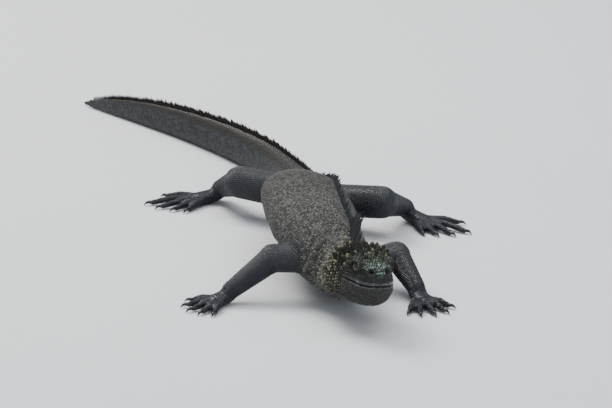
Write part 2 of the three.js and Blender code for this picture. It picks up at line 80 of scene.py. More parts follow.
WIDEST_LEVEL = [(0, 0.42), (100, 0.42), (160, 0.4), (300, 0.4), (380, 0.42), (TAIL_TIP, 0.42)]
UPPER_ROUNDNESS = [(0, 2.6), (50, 2.6), (80, 2.1), (160, 1.8), (300, 1.8), (400, 1.9), (TAIL_TIP, 1.9)]
LOWER_ROUNDNESS = [(0, 2.3), (60, 2.4), (120, 2.4), (300, 2.4), (400, 2.3), (TAIL_TIP, 2.2)]
ROLL = [
    (0, HEAD_ROLL), (44, HEAD_ROLL), (70, 10), (100, 24), (135, 36), (200, 40), (280, 36), (330, 21),
    (390, 6), (440, 0), (TAIL_TIP, 0),
]
SNOUT = {"length": 13.0, "bluntness": 2.6, "height": 55.0}

# Swellings of the head: distance, angle from the crown, spread along, spread round, height
HEAD_RELIEF = [
    (22.5, 40, 9, 9, 3.2), (13, 34, 7, 9, 1.0), (20.5, 62, 8, 12, -2.2), (7, 30, 5, 10, 1.4),
    (52, 108, 11, 22, 2.4), (20, 96, 16, 7, 1.0),
]

# Crest: height over the ridge, lean to the left and backwards in degrees, distance between spines and how far
# their widths overlap
CREST_HEIGHT = [
    (66, 17), (72, 25), (84, 29), (100, 29), (116, 27), (124, 24), (129, 11), (140, 10.5), (200, 10),
    (260, 9), (320, 7), (350, 6), (420, 7), (500, 8), (640, 8), (730, 6), (TAIL_TIP, 2),
]
CREST_LEAN_LEFT = [(66, 28), (90, 24), (122, 8), (135, 1), (340, 3), (420, 3), (TAIL_TIP, 2)]
CREST_LEAN_BACK = 26.0
CREST_PITCH = [(66, 4.7), (124, 4.9), (130, 3.4), (340, 3.3), (400, 3.6), (TAIL_TIP, 3.2)]
CREST_OVERLAP = [(66, 0.98), (140, 1.05), (330, 1.1), (400, 1.4), (TAIL_TIP, 1.5)]

# Crown: height of the cones
CROWN_HEIGHT = [(9, 1.3), (20, 2.0), (34, 4.8), (46, 6.6), (56, 5.6), (62, 3.8)]

# A spine's outline: shares of its height and of its width there
SPINE_RISE = np.array([-0.16, 0.04, 0.22, 0.42, 0.62, 0.8, 0.93, 1.0])
SPINE_SHARE = np.array([1.0, 1.0, 1.0, 0.92, 0.74, 0.5, 0.24, 0.05])

# Face: places on the head, the lids' oval and rings of grains, and the rows of the lips' plates
EYE = {"behind": 20.5, "side": 15.0, "height": 66.5, "radius": 6.4}
NOSTRIL = {"behind": 4.6, "side": 8.0, "height": 66.0}
EAR = {"behind": 57.0, "side": 31.5, "height": 52.0, "tall": 1.25}
MOUTH = {"front": 53.0, "corner": 52.0, "behind": 35.0}
LID = {"rise": 0.3, "long": 1.2, "tall": 0.78}
LID_RINGS = [(6.0, 22, 1.5), (7.9, 24, 2.0)]
LIP_ROWS = [(2.2, 2.6), (-1.7, 1.4)]

# Limbs: digits as splay, length and place across the paw, radii at the ends of both lengths, and the joints
HAND_DIGITS = [(-38, 17, -8), (-16, 22, -4.5), (2, 25, 0), (20, 24, 4.5), (46, 18, 8)]
FOOT_DIGITS = [(-30, 20, -8), (-13, 29, -4.5), (0, 39, 0), (13, 46, 4.5), (42, 30, 8)]
ARM = {"radii": (14, 14.5, 13.8, 9.5), "palm": 17, "digits": HAND_DIGITS}
LEG = {"radii": (17, 17, 15.5, 9.5), "palm": 24, "digits": FOOT_DIGITS}
LIMBS = {
    "arm_right": {**ARM, "sign": 1, "joints": [(8, 102, 42), (-32, 108, 41), (-73, 93, 13)], "points": 56},
    "arm_left": {**ARM, "sign": -1, "joints": [(46, 116, 28), (88, 137, 33), (107, 100, 13)], "points": 20},
    "leg_right": {**LEG, "sign": 1, "joints": [(-4, 316, 32), (-67, 343, 37), (-88, 389, 14)], "points": 68},
    "leg_left": {**LEG, "sign": -1, "joints": [(14, 318, 27), (76, 284, 36), (101, 331, 14)], "points": 44},
}
DIGIT_RADII = (4.0, 3.8, 3.1)
PAW_HEIGHT = {"heel": 8.4, "ball": 5.9, "knuckle": 6.0, "tip": 2.9, "claw": 0.7}
PALM_RADII = (9, 9.5, 9.5)
PALM_FLATNESS = 0.72
CLAW_LENGTH = 9.0
CLAW_RADII = (2.1, 1.6, 0.3)
TUBE_DOME = 0.2

# Coat of the limbs: pitch and height of the scales
UPPER_COAT = (2.15, 0.62)
LOWER_COAT = (2.0, 0.58)
PALM_COAT = (1.9, 0.5)
DIGIT_COAT = (1.9, 0.45)

# The skin: how deep it lies under the solids' surface, to leave room for its scales, the width of its voxels
# and where its finer mesh over the face ends. No scale goes nearer the floor than the clearance.
COAT_DEPTH = 0.8
VOXEL = 1.75
FACE_END = 62
FLOOR_CLEARANCE = 0.02


def along(table, at):
    """Smooth values of a table: a cubic between its rows whose slope at each row is the harmonic mean of its
    neighbours' slopes, or zero at a turn, so that it never swings past them."""
    x, y = np.array(table, float).T
    step = np.diff(x)
    slope = np.diff(y) / step
    product = slope[:-1] * slope[1:]
    total = slope[:-1] + slope[1:]
    inner = np.where(product > 0, 2 * product / np.where(total == 0, 1, total), 0)
    tangent = np.concatenate([slope[:1], inner, slope[-1:]])
    at = np.clip(np.asarray(at, float), x[0], x[-1])
    i = np.clip(np.searchsorted(x, at, side="right") - 1, 0, len(x) - 2)
    t = (at - x[i]) / step[i]
    start = y[i] * (1 + 2 * t) * (1 - t) ** 2 + tangent[i] * step[i] * t * (1 - t) ** 2
    end = y[i + 1] * t * t * (3 - 2 * t) + tangent[i + 1] * step[i] * t * t * (t - 1)
    return start + end


def smooth(low, high, value):
    """Zero below low, one above high and an S-curve between."""
    t = np.clip((value - low) / (high - low), 0, 1)
    return t * t * (3 - 2 * t)


def bump(distance, spread):
    """A bell of height one: e to the power of minus the square of distance over spread."""
    return np.exp(-((distance / spread) ** 2))


def unit(vectors):
    """The vectors divided by their lengths."""
    return vectors / np.maximum(np.linalg.norm(vectors, axis=-1, keepdims=True), 1e-9)


def steps_round(count):
    """Even steps of a full turn, from zero."""
    return np.arange(count) / count * TURN


def length(vectors):
    """Lengths of vectors."""
    return np.linalg.norm(vectors, axis=-1)


def together(*values):
    """The values as arrays of numbers of one shape."""
    return np.broadcast_arrays(*(np.asarray(value, float) for value in values))


# The body's line: one sample for each millimetre, walked back from the snout along its heading
LINE_S = np.arange(0, TAIL_TIP + 3)
_turned = np.radians(along(HEADING, LINE_S[:-1] + 0.5))
_walked = np.cumsum(np.stack([-np.sin(_turned), np.cos(_turned)], 1), axis=0)
LINE_XY = SNOUT_TIP + np.concatenate([[[0, 0]], _walked])


def body_frame(s):
    """Place on the floor, direction to the animal's right and direction to its tail at each distance."""
    heading = np.radians(along(HEADING, s))
    place = np.stack([np.interp(s, LINE_S, LINE_XY[:, 0]), np.interp(s, LINE_S, LINE_XY[:, 1]), 0 * s], -1)
    right = np.stack([-np.cos(heading), -np.sin(heading), 0 * s], -1)
    tailwards = np.stack([-np.sin(heading), np.cos(heading), 0 * s], -1)
    return place, right, tailwards


def section(s, angle, grow=0.0):
    """Side step and height of a section's outline, a superellipse closed over the blunt snout and rolled
    about the level of its widest place. The angle runs from the ridge towards the animal's right."""
    s, angle = together(s, angle)
    share = np.clip(s / SNOUT["length"], 0, 1)
    cap = (1 - (1 - share) ** SNOUT["bluntness"]) ** (1 / SNOUT["bluntness"])
    half = along(HALF_WIDTH, s) * cap + grow
    back = SNOUT["height"] + (along(BACK, s) - SNOUT["height"]) * cap + grow
    belly = SNOUT["height"] + (along(BELLY, s) - SNOUT["height"]) * cap - grow
    middle = belly + (back - belly) * along(WIDEST_LEVEL, s)
    up = np.cos(angle)
    power = 2 / np.where(up >= 0, along(UPPER_ROUNDNESS, s), along(LOWER_ROUNDNESS, s))
    degrees = np.abs(np.degrees((angle + np.pi) % TURN - np.pi))
    relief = sum(
        h * np.exp(-((s - a) / ds) ** 2 - ((degrees - b) / db) ** 2) for a, b, ds, db, h in HEAD_RELIEF
    )
    swell = 1 + relief / np.maximum(half, 1)
    rise = np.sign(up) * np.abs(up) ** power * np.where(up >= 0, back - middle, middle - belly) * swell
    side = np.sign(np.sin(angle)) * np.abs(np.sin(angle)) ** power * half * swell
    roll = np.radians(along(ROLL, s))
    across = side * np.cos(roll) - rise * np.sin(roll)
    height = middle + rise * np.cos(roll) + side * np.sin(roll)
    return across, height, belly


# How far each rolled section is lifted, so that its lowest place keeps the level of the belly
_lift_s = np.linspace(0, TAIL_TIP, 81)
_, _lift_z, _lift_belly = section(_lift_s[:, None], np.linspace(0, TURN, 64)[None, :])
LIFT = np.stack([_lift_s, _lift_belly[:, 0] - _lift_z.min(axis=1)], 1)


def body_point(s, angle, grow=0.0):
    """Points of the body's surface at distances and angles."""
    s, angle = together(s, angle)
    place, right, _ = body_frame(s)
    side, z, _ = section(s, angle, grow)
    return place + right * side[..., None] + UP * (z + along(LIFT, s))[..., None]


HEAD_PLACE, _level_right, HEAD_BACK = (v[0] for v in body_frame(np.zeros(1)))
HEAD_RIGHT = _level_right * np.cos(np.radians(HEAD_ROLL)) + UP * np.sin(np.radians(HEAD_ROLL))
HEAD_UP = UP * np.cos(np.radians(HEAD_ROLL)) - _level_right * np.sin(np.radians(HEAD_ROLL))


def head_point(behind, side, z):
    """Places of the head, by distance behind the snout, to its right and up, which are rolled with it."""
    behind, side, z = together(behind, side, z)
    axis = HEAD_PLACE + UP * (ROLL_HEIGHT + along(LIFT, behind))[..., None] + HEAD_BACK * behind[..., None]
    return axis + HEAD_RIGHT * side[..., None] + HEAD_UP * (z - ROLL_HEIGHT)[..., None]


def head_coordinates(points):
    """The reverse of head_point: distance behind the snout, to the right and up."""
    behind = (points - HEAD_PLACE) @ HEAD_BACK
    from_axis = points - HEAD_PLACE - UP * (ROLL_HEIGHT + along(LIFT, behind))[..., None]
    return behind, from_axis @ HEAD_RIGHT, ROLL_HEIGHT + from_axis @ HEAD_UP


def feature_place(feature, sign, farther=0.0):
    """Where a feature of the face is, on the right for a sign of one and on the left for minus one."""
    return head_point(feature["behind"], sign * (feature["side"] + farther), feature["height"])


def distance_to(feature, points, farther=0.0):
    """How far each point is from the nearer of a feature's two places."""
    return np.min([length(points - feature_place(feature, k, farther)) for k in SIDES], axis=0)


def ear_distance(behind, z, tall=1.0):
    """Distance from the ear's middle as seen from the side, upwards divided by tall."""
    return np.hypot(behind - EAR["behind"], (z - EAR["height"]) / tall)


# The move from this file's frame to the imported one, found from where the right eye's solid is
_eye_box = np.array([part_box("eye_right")[0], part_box("eye_right")[1]])
SHIFT = _eye_box.mean(axis=0) - METRE * feature_place(EYE, 1)


# Meshes

def linked(name, data):
    """A new object of the scene."""
    made = bpy.data.objects.new(name, data)
    bpy.context.scene.collection.objects.link(made)
    return made


def make_piece(name, points, faces, attributes=None, patch=None, shade_smooth=True):
    """A mesh object from points and a list of face arrays, each with its own number of corners. Attributes
    are numbers at the points, and patch is the place of each point on the map for baking."""
    mesh = bpy.data.meshes.new(name)
    mesh.vertices.add(len(points))
    mesh.vertices.foreach_set("co", (points * METRE + SHIFT).astype(np.float32).ravel())
    corners = np.concatenate([f.ravel() for f in faces]).astype(np.int32)
    sizes = np.concatenate([np.full(len(f), f.shape[1]) for f in faces])
    mesh.loops.add(len(corners))
    mesh.loops.foreach_set("vertex_index", corners)
    mesh.polygons.add(len(sizes))
    mesh.polygons.foreach_set("loop_start", np.concatenate([[0], np.cumsum(sizes)[:-1]]).astype(np.int32))
    mesh.polygons.foreach_set("use_smooth", np.full(len(sizes), shade_smooth))
    mesh.update(calc_edges=True)
    for key, values in (attributes or {}).items():
        layer = mesh.attributes.new(key, "FLOAT", "POINT")
        layer.data.foreach_set("value", np.broadcast_to(values, len(points)).astype(np.float32))
    if patch is not None:
        layer = mesh.uv_layers.new(name="OFBake")
        layer.data.foreach_set("uv", patch[corners].astype(np.float32).ravel())
    mesh.validate()
    return linked(name, mesh)


def closed_grid(rings):
    """Faces of rings of points, one after another, closed by a fan to a point at the middle of each end."""
    count, sides = rings.shape[:2]
    points = np.concatenate([rings.reshape(-1, 3), rings[0].mean(axis=0)[None], rings[-1].mean(axis=0)[None]])
    a = (np.arange(count - 1)[:, None] * sides + np.arange(sides)[None, :]).ravel()
    b = (np.arange(count - 1)[:, None] * sides + (np.arange(sides)[None, :] + 1) % sides).ravel()
    quads = np.stack([a, b, b + sides, a + sides], 1)
    i = np.arange(sides)
    j = (i + 1) % sides
    last = (count - 1) * sides
    fans = np.concatenate([
        np.stack([j, i, np.full(sides, count * sides)], 1),
        np.stack([last + i, last + j, np.full(sides, count * sides + 1)], 1),
    ])
    return points, quads, fans


def outward(points, quads, fans):
    """The same faces, turned over if they enclose a negative volume."""
    a, b, c, d = (points[quads[:, k]] for k in range(4))
    volume = np.einsum("ij,ij->", a, np.cross(b, c)) + np.einsum("ij,ij->", a, np.cross(c, d))
    e, f, g = (points[fans[:, k]] for k in range(3))
    volume += np.einsum("ij,ij->", e, np.cross(f, g))
    return (quads, fans) if volume > 0 else (quads[:, ::-1], fans[:, ::-1])


def joined(shapes):
    """Several closed grids as one set of points, quads and triangles."""
    points, quads, fans, offset = [], [], [], 0
    for rings in shapes:
        p, q, f = closed_grid(rings)
        q, f = outward(p, q, f)
        points.append(p)
        quads.append(q + offset)
        fans.append(f + offset)
        offset += len(p)
    return np.concatenate(points), np.concatenate(quads), np.concatenate(fans)


def path(joints, t):
    """Points of a smooth line through the joints, where t runs from 0 to 1."""
    joints = np.array(joints, float)
    knots = np.arange(len(joints))
    return np.stack([along(np.stack([knots, joints[:, k]], 1), t * knots[-1]) for k in range(3)], -1)


def tube_point(joints, radii, t, angle, flatness=1.0):
    """Surface of a tube: the line through the joints plus a circle, or a flatter ring, of a radius that goes
    evenly from joint to joint. Past its ends, t below 0 or above 1, it closes as a dome."""
    t, angle = together(t, angle)
    inside = np.clip(t, 0, 1)
    ahead = unit(path(joints, np.clip(inside + 0.01, 0, 1)) - path(joints, np.clip(inside - 0.01, 0, 1)))
    across = unit(np.cross(ahead, UP))
    over = np.cross(across, ahead)
    radius = np.interp(inside * (len(radii) - 1), np.arange(len(radii)), radii)
    past = t - inside
    dome = np.sqrt(np.clip(1 - (past / TUBE_DOME) ** 2, 0, 1))
    ring = across * (np.sin(angle) * dome)[..., None] + over * (np.cos(angle) * flatness * dome)[..., None]
    return path(joints, inside) + radius[..., None] * (ring + ahead * (past / TUBE_DOME)[..., None])


def tube_rings(joints, radii, flatness=1.0, rings=24, sides=32):
    """Rings of a tube with round ends."""
    domes = TUBE_DOME * np.sin(np.linspace(-np.pi / 2, 0, 7))[1:-1]
    t = np.concatenate([domes, np.linspace(0, 1, rings), 1 - domes[::-1]])
    angle = np.linspace(0, TURN, sides, endpoint=False)
    return tube_point(joints, radii, t[:, None], angle[None, :], flatness)


def paw_plan(limb):
    """Joints and radii of the palm, the digits and the claws of a limb, and the way that the paw points."""
    sign = limb["sign"]
    end = np.array(limb["joints"][2], float)
    height = PAW_HEIGHT

    def way(degrees):
        turned = np.radians(limb["points"] + degrees)
        return np.array([-sign * np.sin(turned), -np.cos(turned), 0.0])

    heel = np.array([end[0], end[1], height["heel"]])
    ball = heel + way(0) * limb["palm"]
    ball[2] = height["ball"]
    palm = ([end, heel + way(0) * 4, ball], PALM_RADII)
    digits, claws = [], []
    for splay, length, start in limb["digits"]:
        root = ball + way(90) * start
        knuckle = root + way(splay) * length * 0.5
        knuckle[2] = height["knuckle"]
        tip = root + way(splay) * length
        tip[2] = height["tip"]
        digits.append(([root, knuckle, tip], DIGIT_RADII))
        middle = tip + way(splay) * 4.6 + UP * 0.6
        point = tip + way(splay) * CLAW_LENGTH
        point[2] = height["claw"]
        claws.append(([tip - way(splay) * 1.0, middle, point], CLAW_RADII))
    return palm, digits, claws


# The skin: body, limbs and digits melted into one surface

def skin_shapes():
    """Rings of every fleshy form, a coat's depth inside the solids."""
    angle = np.linspace(0, TURN, 96, endpoint=False)
    s = np.concatenate([np.linspace(0.15, 14, 14), np.linspace(16, TAIL_TIP, 300)])
    shapes = [body_point(s[:, None], angle[None, :], -COAT_DEPTH)]
    for limb in LIMBS.values():
        radii = np.array(limb["radii"], float) - COAT_DEPTH
        shapes.append(tube_rings(limb["joints"][:2], radii[:2]))
        shapes.append(tube_rings(limb["joints"][1:], radii[2:]))
        palm, digits, _ = paw_plan(limb)
        shapes.append(tube_rings(palm[0], np.array(palm[1]) - 0.5, flatness=PALM_FLATNESS))
        for toe, toe_radii in digits:
            shapes.append(tube_rings(toe, np.array(toe_radii) - 0.3, rings=16, sides=20))
    return shapes


def read_all(items, key, width=1, kind=np.int32):
    """One number, or one vector of a width, from each of a mesh's items."""
    values = np.empty(len(items) * width, kind)
    items.foreach_get(key, values)
    return values.reshape(-1, width) if width > 1 else values


def mesh_arrays(mesh):
    """Points in millimetres of this file's frame, normals, and faces grouped by their number of corners."""
    points = read_all(mesh.vertices, "co", 3, float)
    normals = read_all(mesh.vertex_normals, "vector", 3, float)
    corners = read_all(mesh.loops, "vertex_index")
    starts = read_all(mesh.polygons, "loop_start")
    sizes = read_all(mesh.polygons, "loop_total")
    faces = [corners[starts[sizes == n][:, None] + np.arange(n)] for n in np.unique(sizes)]
    return (points - SHIFT) / METRE, normals, faces


def settled(piece, modifiers):
    """The piece's mesh after modifiers given as (kind, settings), which are then gone."""
    for kind, settings in modifiers:
        modifier = piece.modifiers.new(kind, kind)
        for key, value in settings.items():
            setattr(modifier, key, value)
    mesh = bpy.data.meshes.new_from_object(piece.evaluated_get(bpy.context.evaluated_depsgraph_get()))
    piece.modifiers.clear()
    return mesh


def split_faces(points, faces, chosen):
    """Each chosen face split in four round its middle, and its neighbours given the new corners, so that the
    surface stays closed."""
    work = bmesh.new()
    mesh = bpy.data.meshes.new("work")
    mesh.from_pydata(points.tolist(), [], [f for group in faces for f in group.tolist()])
    work.from_mesh(mesh)
    picked = [f for f in work.faces if chosen(np.array(f.calc_center_median()))]
    edges = list({e for f in picked for e in f.edges})
    bmesh.ops.subdivide_edges(work, edges=edges, cuts=1, use_grid_fill=True)
    work.to_mesh(mesh)
    work.free()
    return mesh


def mouth_level(behind):
    """Height of the mouth's line at a distance behind the snout."""
    share = np.clip(behind / MOUTH["behind"], 0, 1.3)
    return MOUTH["front"] + (MOUTH["corner"] - MOUTH["front"]) * share


def face_relief(points):
    """Depth and height of the face's small forms: the mouth's groove between its lips, the nostrils in their
    rims, the lids round the sunken eyes, the brows, the ears and the folds of the throat."""
    behind, side, z = head_coordinates(points)
    over_mouth = z - mouth_level(behind)
    in_mouth = smooth(MOUTH["behind"] + 1, MOUTH["behind"] - 3, behind)
    in_mouth = in_mouth * smooth(3, 6, np.abs(side) + 30 - behind)
    lips = 0.5 * bump(over_mouth - 2.4, 1.4) + 0.35 * bump(over_mouth + 2.0, 1.1)
    relief = in_mouth * (lips - 2.1 * bump(over_mouth, 0.75))
    for sign in SIDES:
        near = length(points - feature_place(NOSTRIL, sign))
        relief += -3.0 * bump(near, 1.9) + 0.9 * bump(near - 3.6, 1.3)
        eye_behind = behind - EYE["behind"]
        eye_up = z - EYE["height"] - LID["rise"]
        outside = smooth(9, 13, side * sign)
        oval = np.hypot(eye_behind / LID["long"], eye_up / LID["tall"])
        lid = (2.0 + 0.8 * smooth(-2, 4, eye_up)) * bump(oval - 5.4, 1.2) - 4.5 * smooth(4.7, 3.9, oval)
        brow = 2.4 * bump(eye_up - 6.8 - 0.12 * eye_behind, 2.2) * bump(eye_behind, 10)
        bag = 0.8 * bump(eye_up + 7.0, 1.3) * bump(eye_behind, 8)
        relief += outside * (lid + brow + bag)
        ear = ear_distance(behind, z, EAR["tall"])
        relief += outside * (-1.8 * smooth(4.2, 2.6, ear) + 0.7 * bump(ear - 5.0, 1.2))
    under = smooth(34, 28, z) * smooth(70, 50, behind)
    relief += 0.3 * under * np.sin(behind * 1.1)
    return relief * smooth(68, 62, behind)


def nearest_distance(points):
    """The distance along the body of the place of its line that is nearest to each point."""
    samples = np.arange(0, TAIL_TIP, 2.0)
    line, _, _ = body_frame(samples)
    found = np.empty(len(points))
    for start in range(0, len(points), 20000):
        part = points[start:start + 20000, None, :2] - line[None, :, :2]
        found[start:start + 20000] = samples[np.argmin(np.einsum("ijk,ijk->ij", part, part), axis=1)]
    return found


def limb_share(points):
    """One on the limbs, zero on the body, from how near each point is to a limb's line in radii."""
    nearest = np.full(len(points), 9.0)
    for limb in LIMBS.values():
        joints = [np.array(j, float) for j in limb["joints"]]
        palm, digits, claws = paw_plan(limb)
        lines = [(joints[0], joints[1], limb["radii"][0]), (joints[1], joints[2], limb["radii"][2])]
        lines += [(palm[0][0], palm[0][2], 16.0)] + [(d[0][0], c[0][2], 8.0) for d, c in zip(digits, claws)]
        for a, b, radius in lines:
            t = np.clip((points - a) @ (b - a) / ((b - a) @ (b - a)), 0, 1)
            nearest = np.minimum(nearest, length(points - a - t[:, None] * (b - a)) / radius)
    return smooth(1.45, 1.12, nearest)


def wrinkles(points):
    """Soft folds of the skin: round the neck and shoulders, and down the flank behind the arm."""
    s = nearest_distance(points)
    z = points[:, 2]
    neck = smooth(66, 78, s) * smooth(128, 108, s)
    flank = smooth(120, 150, s) * smooth(330, 290, s) * smooth(66, 40, z)
    waver = 2.2 * np.sin(z * 0.16) + 1.3 * np.sin(points[:, 0] * 0.11)
    folds = 0.7 * neck * np.sin(s * 0.62 + waver) + 0.8 * flank * np.sin(s * 0.21 + 0.56 * waver)
    return folds * (1 - limb_share(points))


def make_skin():
    """All the fleshy forms as one voxel surface, smoothed, finer over the face, with small forms pressed
    in."""
    points, quads, fans = joined(skin_shapes())
    rough = make_piece("rough", points, [quads, fans])
    mesh = settled(rough, [
        ("REMESH", {"mode": "VOXEL", "voxel_size": VOXEL * METRE}),
        ("SMOOTH", {"factor": 0.5, "iterations": 6}),
    ])
    bpy.data.objects.remove(rough)
    points, _, faces = mesh_arrays(mesh)
    mesh = split_faces(points, faces, lambda place: (place - HEAD_PLACE) @ HEAD_BACK < FACE_END)
    mesh.transform(np.diag([METRE, METRE, METRE, 1.0]).tolist())
    mesh.update()
    points, normals, faces = mesh_arrays(mesh)
    points = points + SHIFT / METRE
    points = points + normals * (face_relief(points) + wrinkles(points))[:, None]
    points[:, 2] = np.maximum(points[:, 2], 0)
    return points, faces


SKIN_POINTS, SKIN_FACES = make_skin()
SKIN_TREE = BVHTree.FromPolygons(SKIN_POINTS.tolist(), [f for group in SKIN_FACES for f in group.tolist()])


def on_skin(points):
    """The nearest place of the skin to each point, its normal and how far it is."""
    found = [SKIN_TREE.find_nearest(p) for p in points.tolist()]
    places = np.array([f[0] for f in found])
    normals = np.array([f[1] for f in found])
    return places, normals, np.array([f[3] for f in found])


# Markings: where each colour lies, the same for the skin and for all that stands on it

def markings(points):
    """Numbers from 0 to 1 for each point that say how much it belongs to each of the areas named below."""
    s = nearest_distance(points)
    behind, side, z = head_coordinates(points)
    place, _, _ = body_frame(s)
    off_body = length((points - place)[:, :2]) / (along(HALF_WIDTH, s) + 4)
    limb = limb_share(points) * np.maximum(smooth(70, 84, s), smooth(1.1, 1.3, off_body))
    head = smooth(78, 56, s) * (1 - limb)
    jowl = bump(behind - 54, 18) * smooth(14, 26, np.abs(side)) * smooth(30, 42, z)
    jowl = jowl * smooth(84, 72, s) * (1 - limb)
    brow = bump(behind - 17, 9) * smooth(66, 71, z)
    algae = np.maximum(brow, 0.6 * bump(behind - 34, 14) * smooth(68, 75, z)) * smooth(66, 50, behind)
    nostril = distance_to(NOSTRIL, points)
    crust = smooth(1.35, 0.5, np.hypot(side / 12.5, (z - 68.0) / 5.5))
    salt = np.maximum(crust, 0.75 * smooth(5.0, 3.2, nostril)) * smooth(18, 10, behind)
    over_mouth = z - mouth_level(behind)
    # The lips' two thin lines: where the finish paints a grey reflection of the sky, and where the skin is
    # wetter and glossier.
    lips = np.maximum(bump(over_mouth - 2.0, 1.2), 0.6 * bump(over_mouth + 1.5, 0.7))
    lip = smooth(30, 6, behind) * lips * smooth(84, 60, s)
    ear = ear_distance(behind, z, EAR["tall"])
    gape = smooth(0.9, 0.5, np.abs(over_mouth)) * smooth(37, 34, behind)
    # Painted shade: black in the nostrils, the mouth's groove, the ears and round the eyes, where shade
    # gathers.
    pit_shades = [
        smooth(3.0, 2.1, nostril),
        gape,
        smooth(3.4, 2.6, ear) * smooth(20, 24, np.abs(side)),
        0.8 * smooth(9.5, 6.0, distance_to(EYE, points, 5)),
    ]
    chin = smooth(53, 49, z) * smooth(60, 46, behind) * head
    tail = smooth(350, 400, s) * (1 - limb)
    marks = dict(limb=limb, tail=tail, head=head, jowl=jowl, algae=algae, salt=salt, lip=lip, chin=chin)
    marks["pit_shade"] = np.max(pit_shades, axis=0) * smooth(90, 70, s)
    marks["ridge"] = smooth(6, 2, along(BACK, s) - z) * tail
    marks["rear"] = smooth(170, 260, s)
    marks["shoulder"] = smooth(160, 90, s)
    return marks


# Scales: small closed shapes set on the skin, each leaning towards the tail or the toes

def ring_of(count, radius, height, ahead=0.0):
    """Corners round a scale: lengthwise, crosswise and up."""
    angle = steps_round(count)
    return np.stack([ahead + radius * np.cos(angle), radius * np.sin(angle), np.full(count, height)], 1)


def domed(count, tiers, apex):
    """A scale as tiers of rings, given as radius, height and shift, up to an apex, with a flat base sunk
    in."""
    corners = np.concatenate([ring_of(count, *tier) for tier in tiers] + [np.array([apex])])
    i = np.arange(count)
    j = (i + 1) % count
    quads = np.concatenate([
        np.stack([i, j, j + count, i + count], 1) + level * count for level in range(len(tiers) - 1)
    ] or [np.empty((0, 4), int)])
    top = (len(tiers) - 1) * count
    fan = np.stack([top + i, top + j, np.full(count, len(tiers) * count)], 1)
    base = np.stack([np.zeros(count - 2, int), np.arange(2, count), np.arange(1, count - 1)], 1)
    return corners, quads, np.concatenate([fan, base])


GRAIN = domed(5, [(0.56, -0.35, 0.0), (0.38, 0.58, 0.03)], (0.1, 0.0, 1.0))
CONE = domed(6, [(0.55, -0.3, 0.0), (0.34, 0.42, 0.05)], (0.34, 0.0, 1.0))
KEELED = domed(4, [(0.64, -0.3, 0.0)], (0.22, 0.0, 1.0))
PLATE = domed(4, [(0.68, -0.4, 0.0), (0.5, 0.55, 0.04)], (0.2, 0.0, 1.0))
CROWN_CONE = domed(7, [(0.56, -0.2, 0.0), (0.43, 0.3, 0.02), (0.27, 0.74, 0.08)], (0.16, 0.0, 1.0))
PATCH = 0.0014


def set_scales(name, shape, roots, normals, lie, sizes, place, extra=None, shade_smooth=False):
    """One piece of many scales. Each root gets the shape, long, wide and high as its row of sizes says,
    turned by its normal and by the lie of the coat, and pressed flat where it meets the floor. Place is each
    root's spot on the map for baking."""
    corners, quads, fans = shape
    lie = unit(lie - normals * np.einsum("ij,ij->i", lie, normals)[:, None])
    across = np.cross(normals, lie)
    axes = np.stack([lie, across, normals], 1)
    local = corners[None] * sizes[:, None, :]
    points = roots[:, None, :] + np.einsum("nki,nij->nkj", local, axes)
    offsets = np.arange(len(roots))[:, None, None] * len(corners)
    points[..., 2] = np.maximum(points[..., 2], FLOOR_CLEARANCE)
    faces = [(f[None] + offsets).reshape(-1, f.shape[1]) for f in (quads, fans) if len(f)]
    marks = {key: np.repeat(values, len(corners)) for key, values in markings(roots).items()}
    marks["tone"] = np.repeat(rng.random(len(roots)), len(corners))
    # Scales that stand in the pits get less of the painted shade.
    marks["pit_shade"] *= 0.7
    # Tip runs from 0 at a scale's root to 1 at its apex: the finishes make scales paler towards it as a
    # painted highlight, so the roots stay darker as painted shade.
    marks["tip"] = np.tile(np.clip(corners[:, 2], 0, 1), len(roots))
    for key, values in (extra or {}).items():
        marks[key] = np.repeat(np.broadcast_to(values, len(roots)), len(corners))
    spot = 0.02 + 0.96 * np.clip(place, 0, 1)
    patch = spot[:, None, :] + PATCH * corners[None, :, :2]
    return make_piece(name, points.reshape(-1, 3), faces, marks, patch.reshape(-1, 2), shade_smooth)


def rows_of(start, end, pitch_along, pitch_round, low, high, length_of):
    """Staggered rows: distances and angles of roots between two distances and two angles, the pitch being two
    functions of distance, and length_of giving the way round at a distance for a turn of one radian."""
    distances, angles = [], []
    s, row = start, 0
    while s < end:
        count = max(3, int(round((high - low) * float(length_of(s)) / float(pitch_round(s)))))
        angle = low + (np.arange(count) + 0.5 * (row % 2) + 0.25) / count * (high - low)
        distances.append(np.full(count, s) + rng.normal(0, 0.07, count) * float(pitch_along(s)))
        angles.append(angle + rng.normal(0, 0.05, count) * (high - low) / count)
        s += float(pitch_along(s))
        row += 1
    return np.concatenate(distances), np.concatenate(angles)


def girth(s):
    """About the way round the body for a turn of one radian: the root of the mean square of its half
    widths."""
    half = along(HALF_WIDTH, s)
    tall = (along(BACK, s) - along(BELLY, s)) / 2
    return np.sqrt((half**2 + tall**2) / 2)


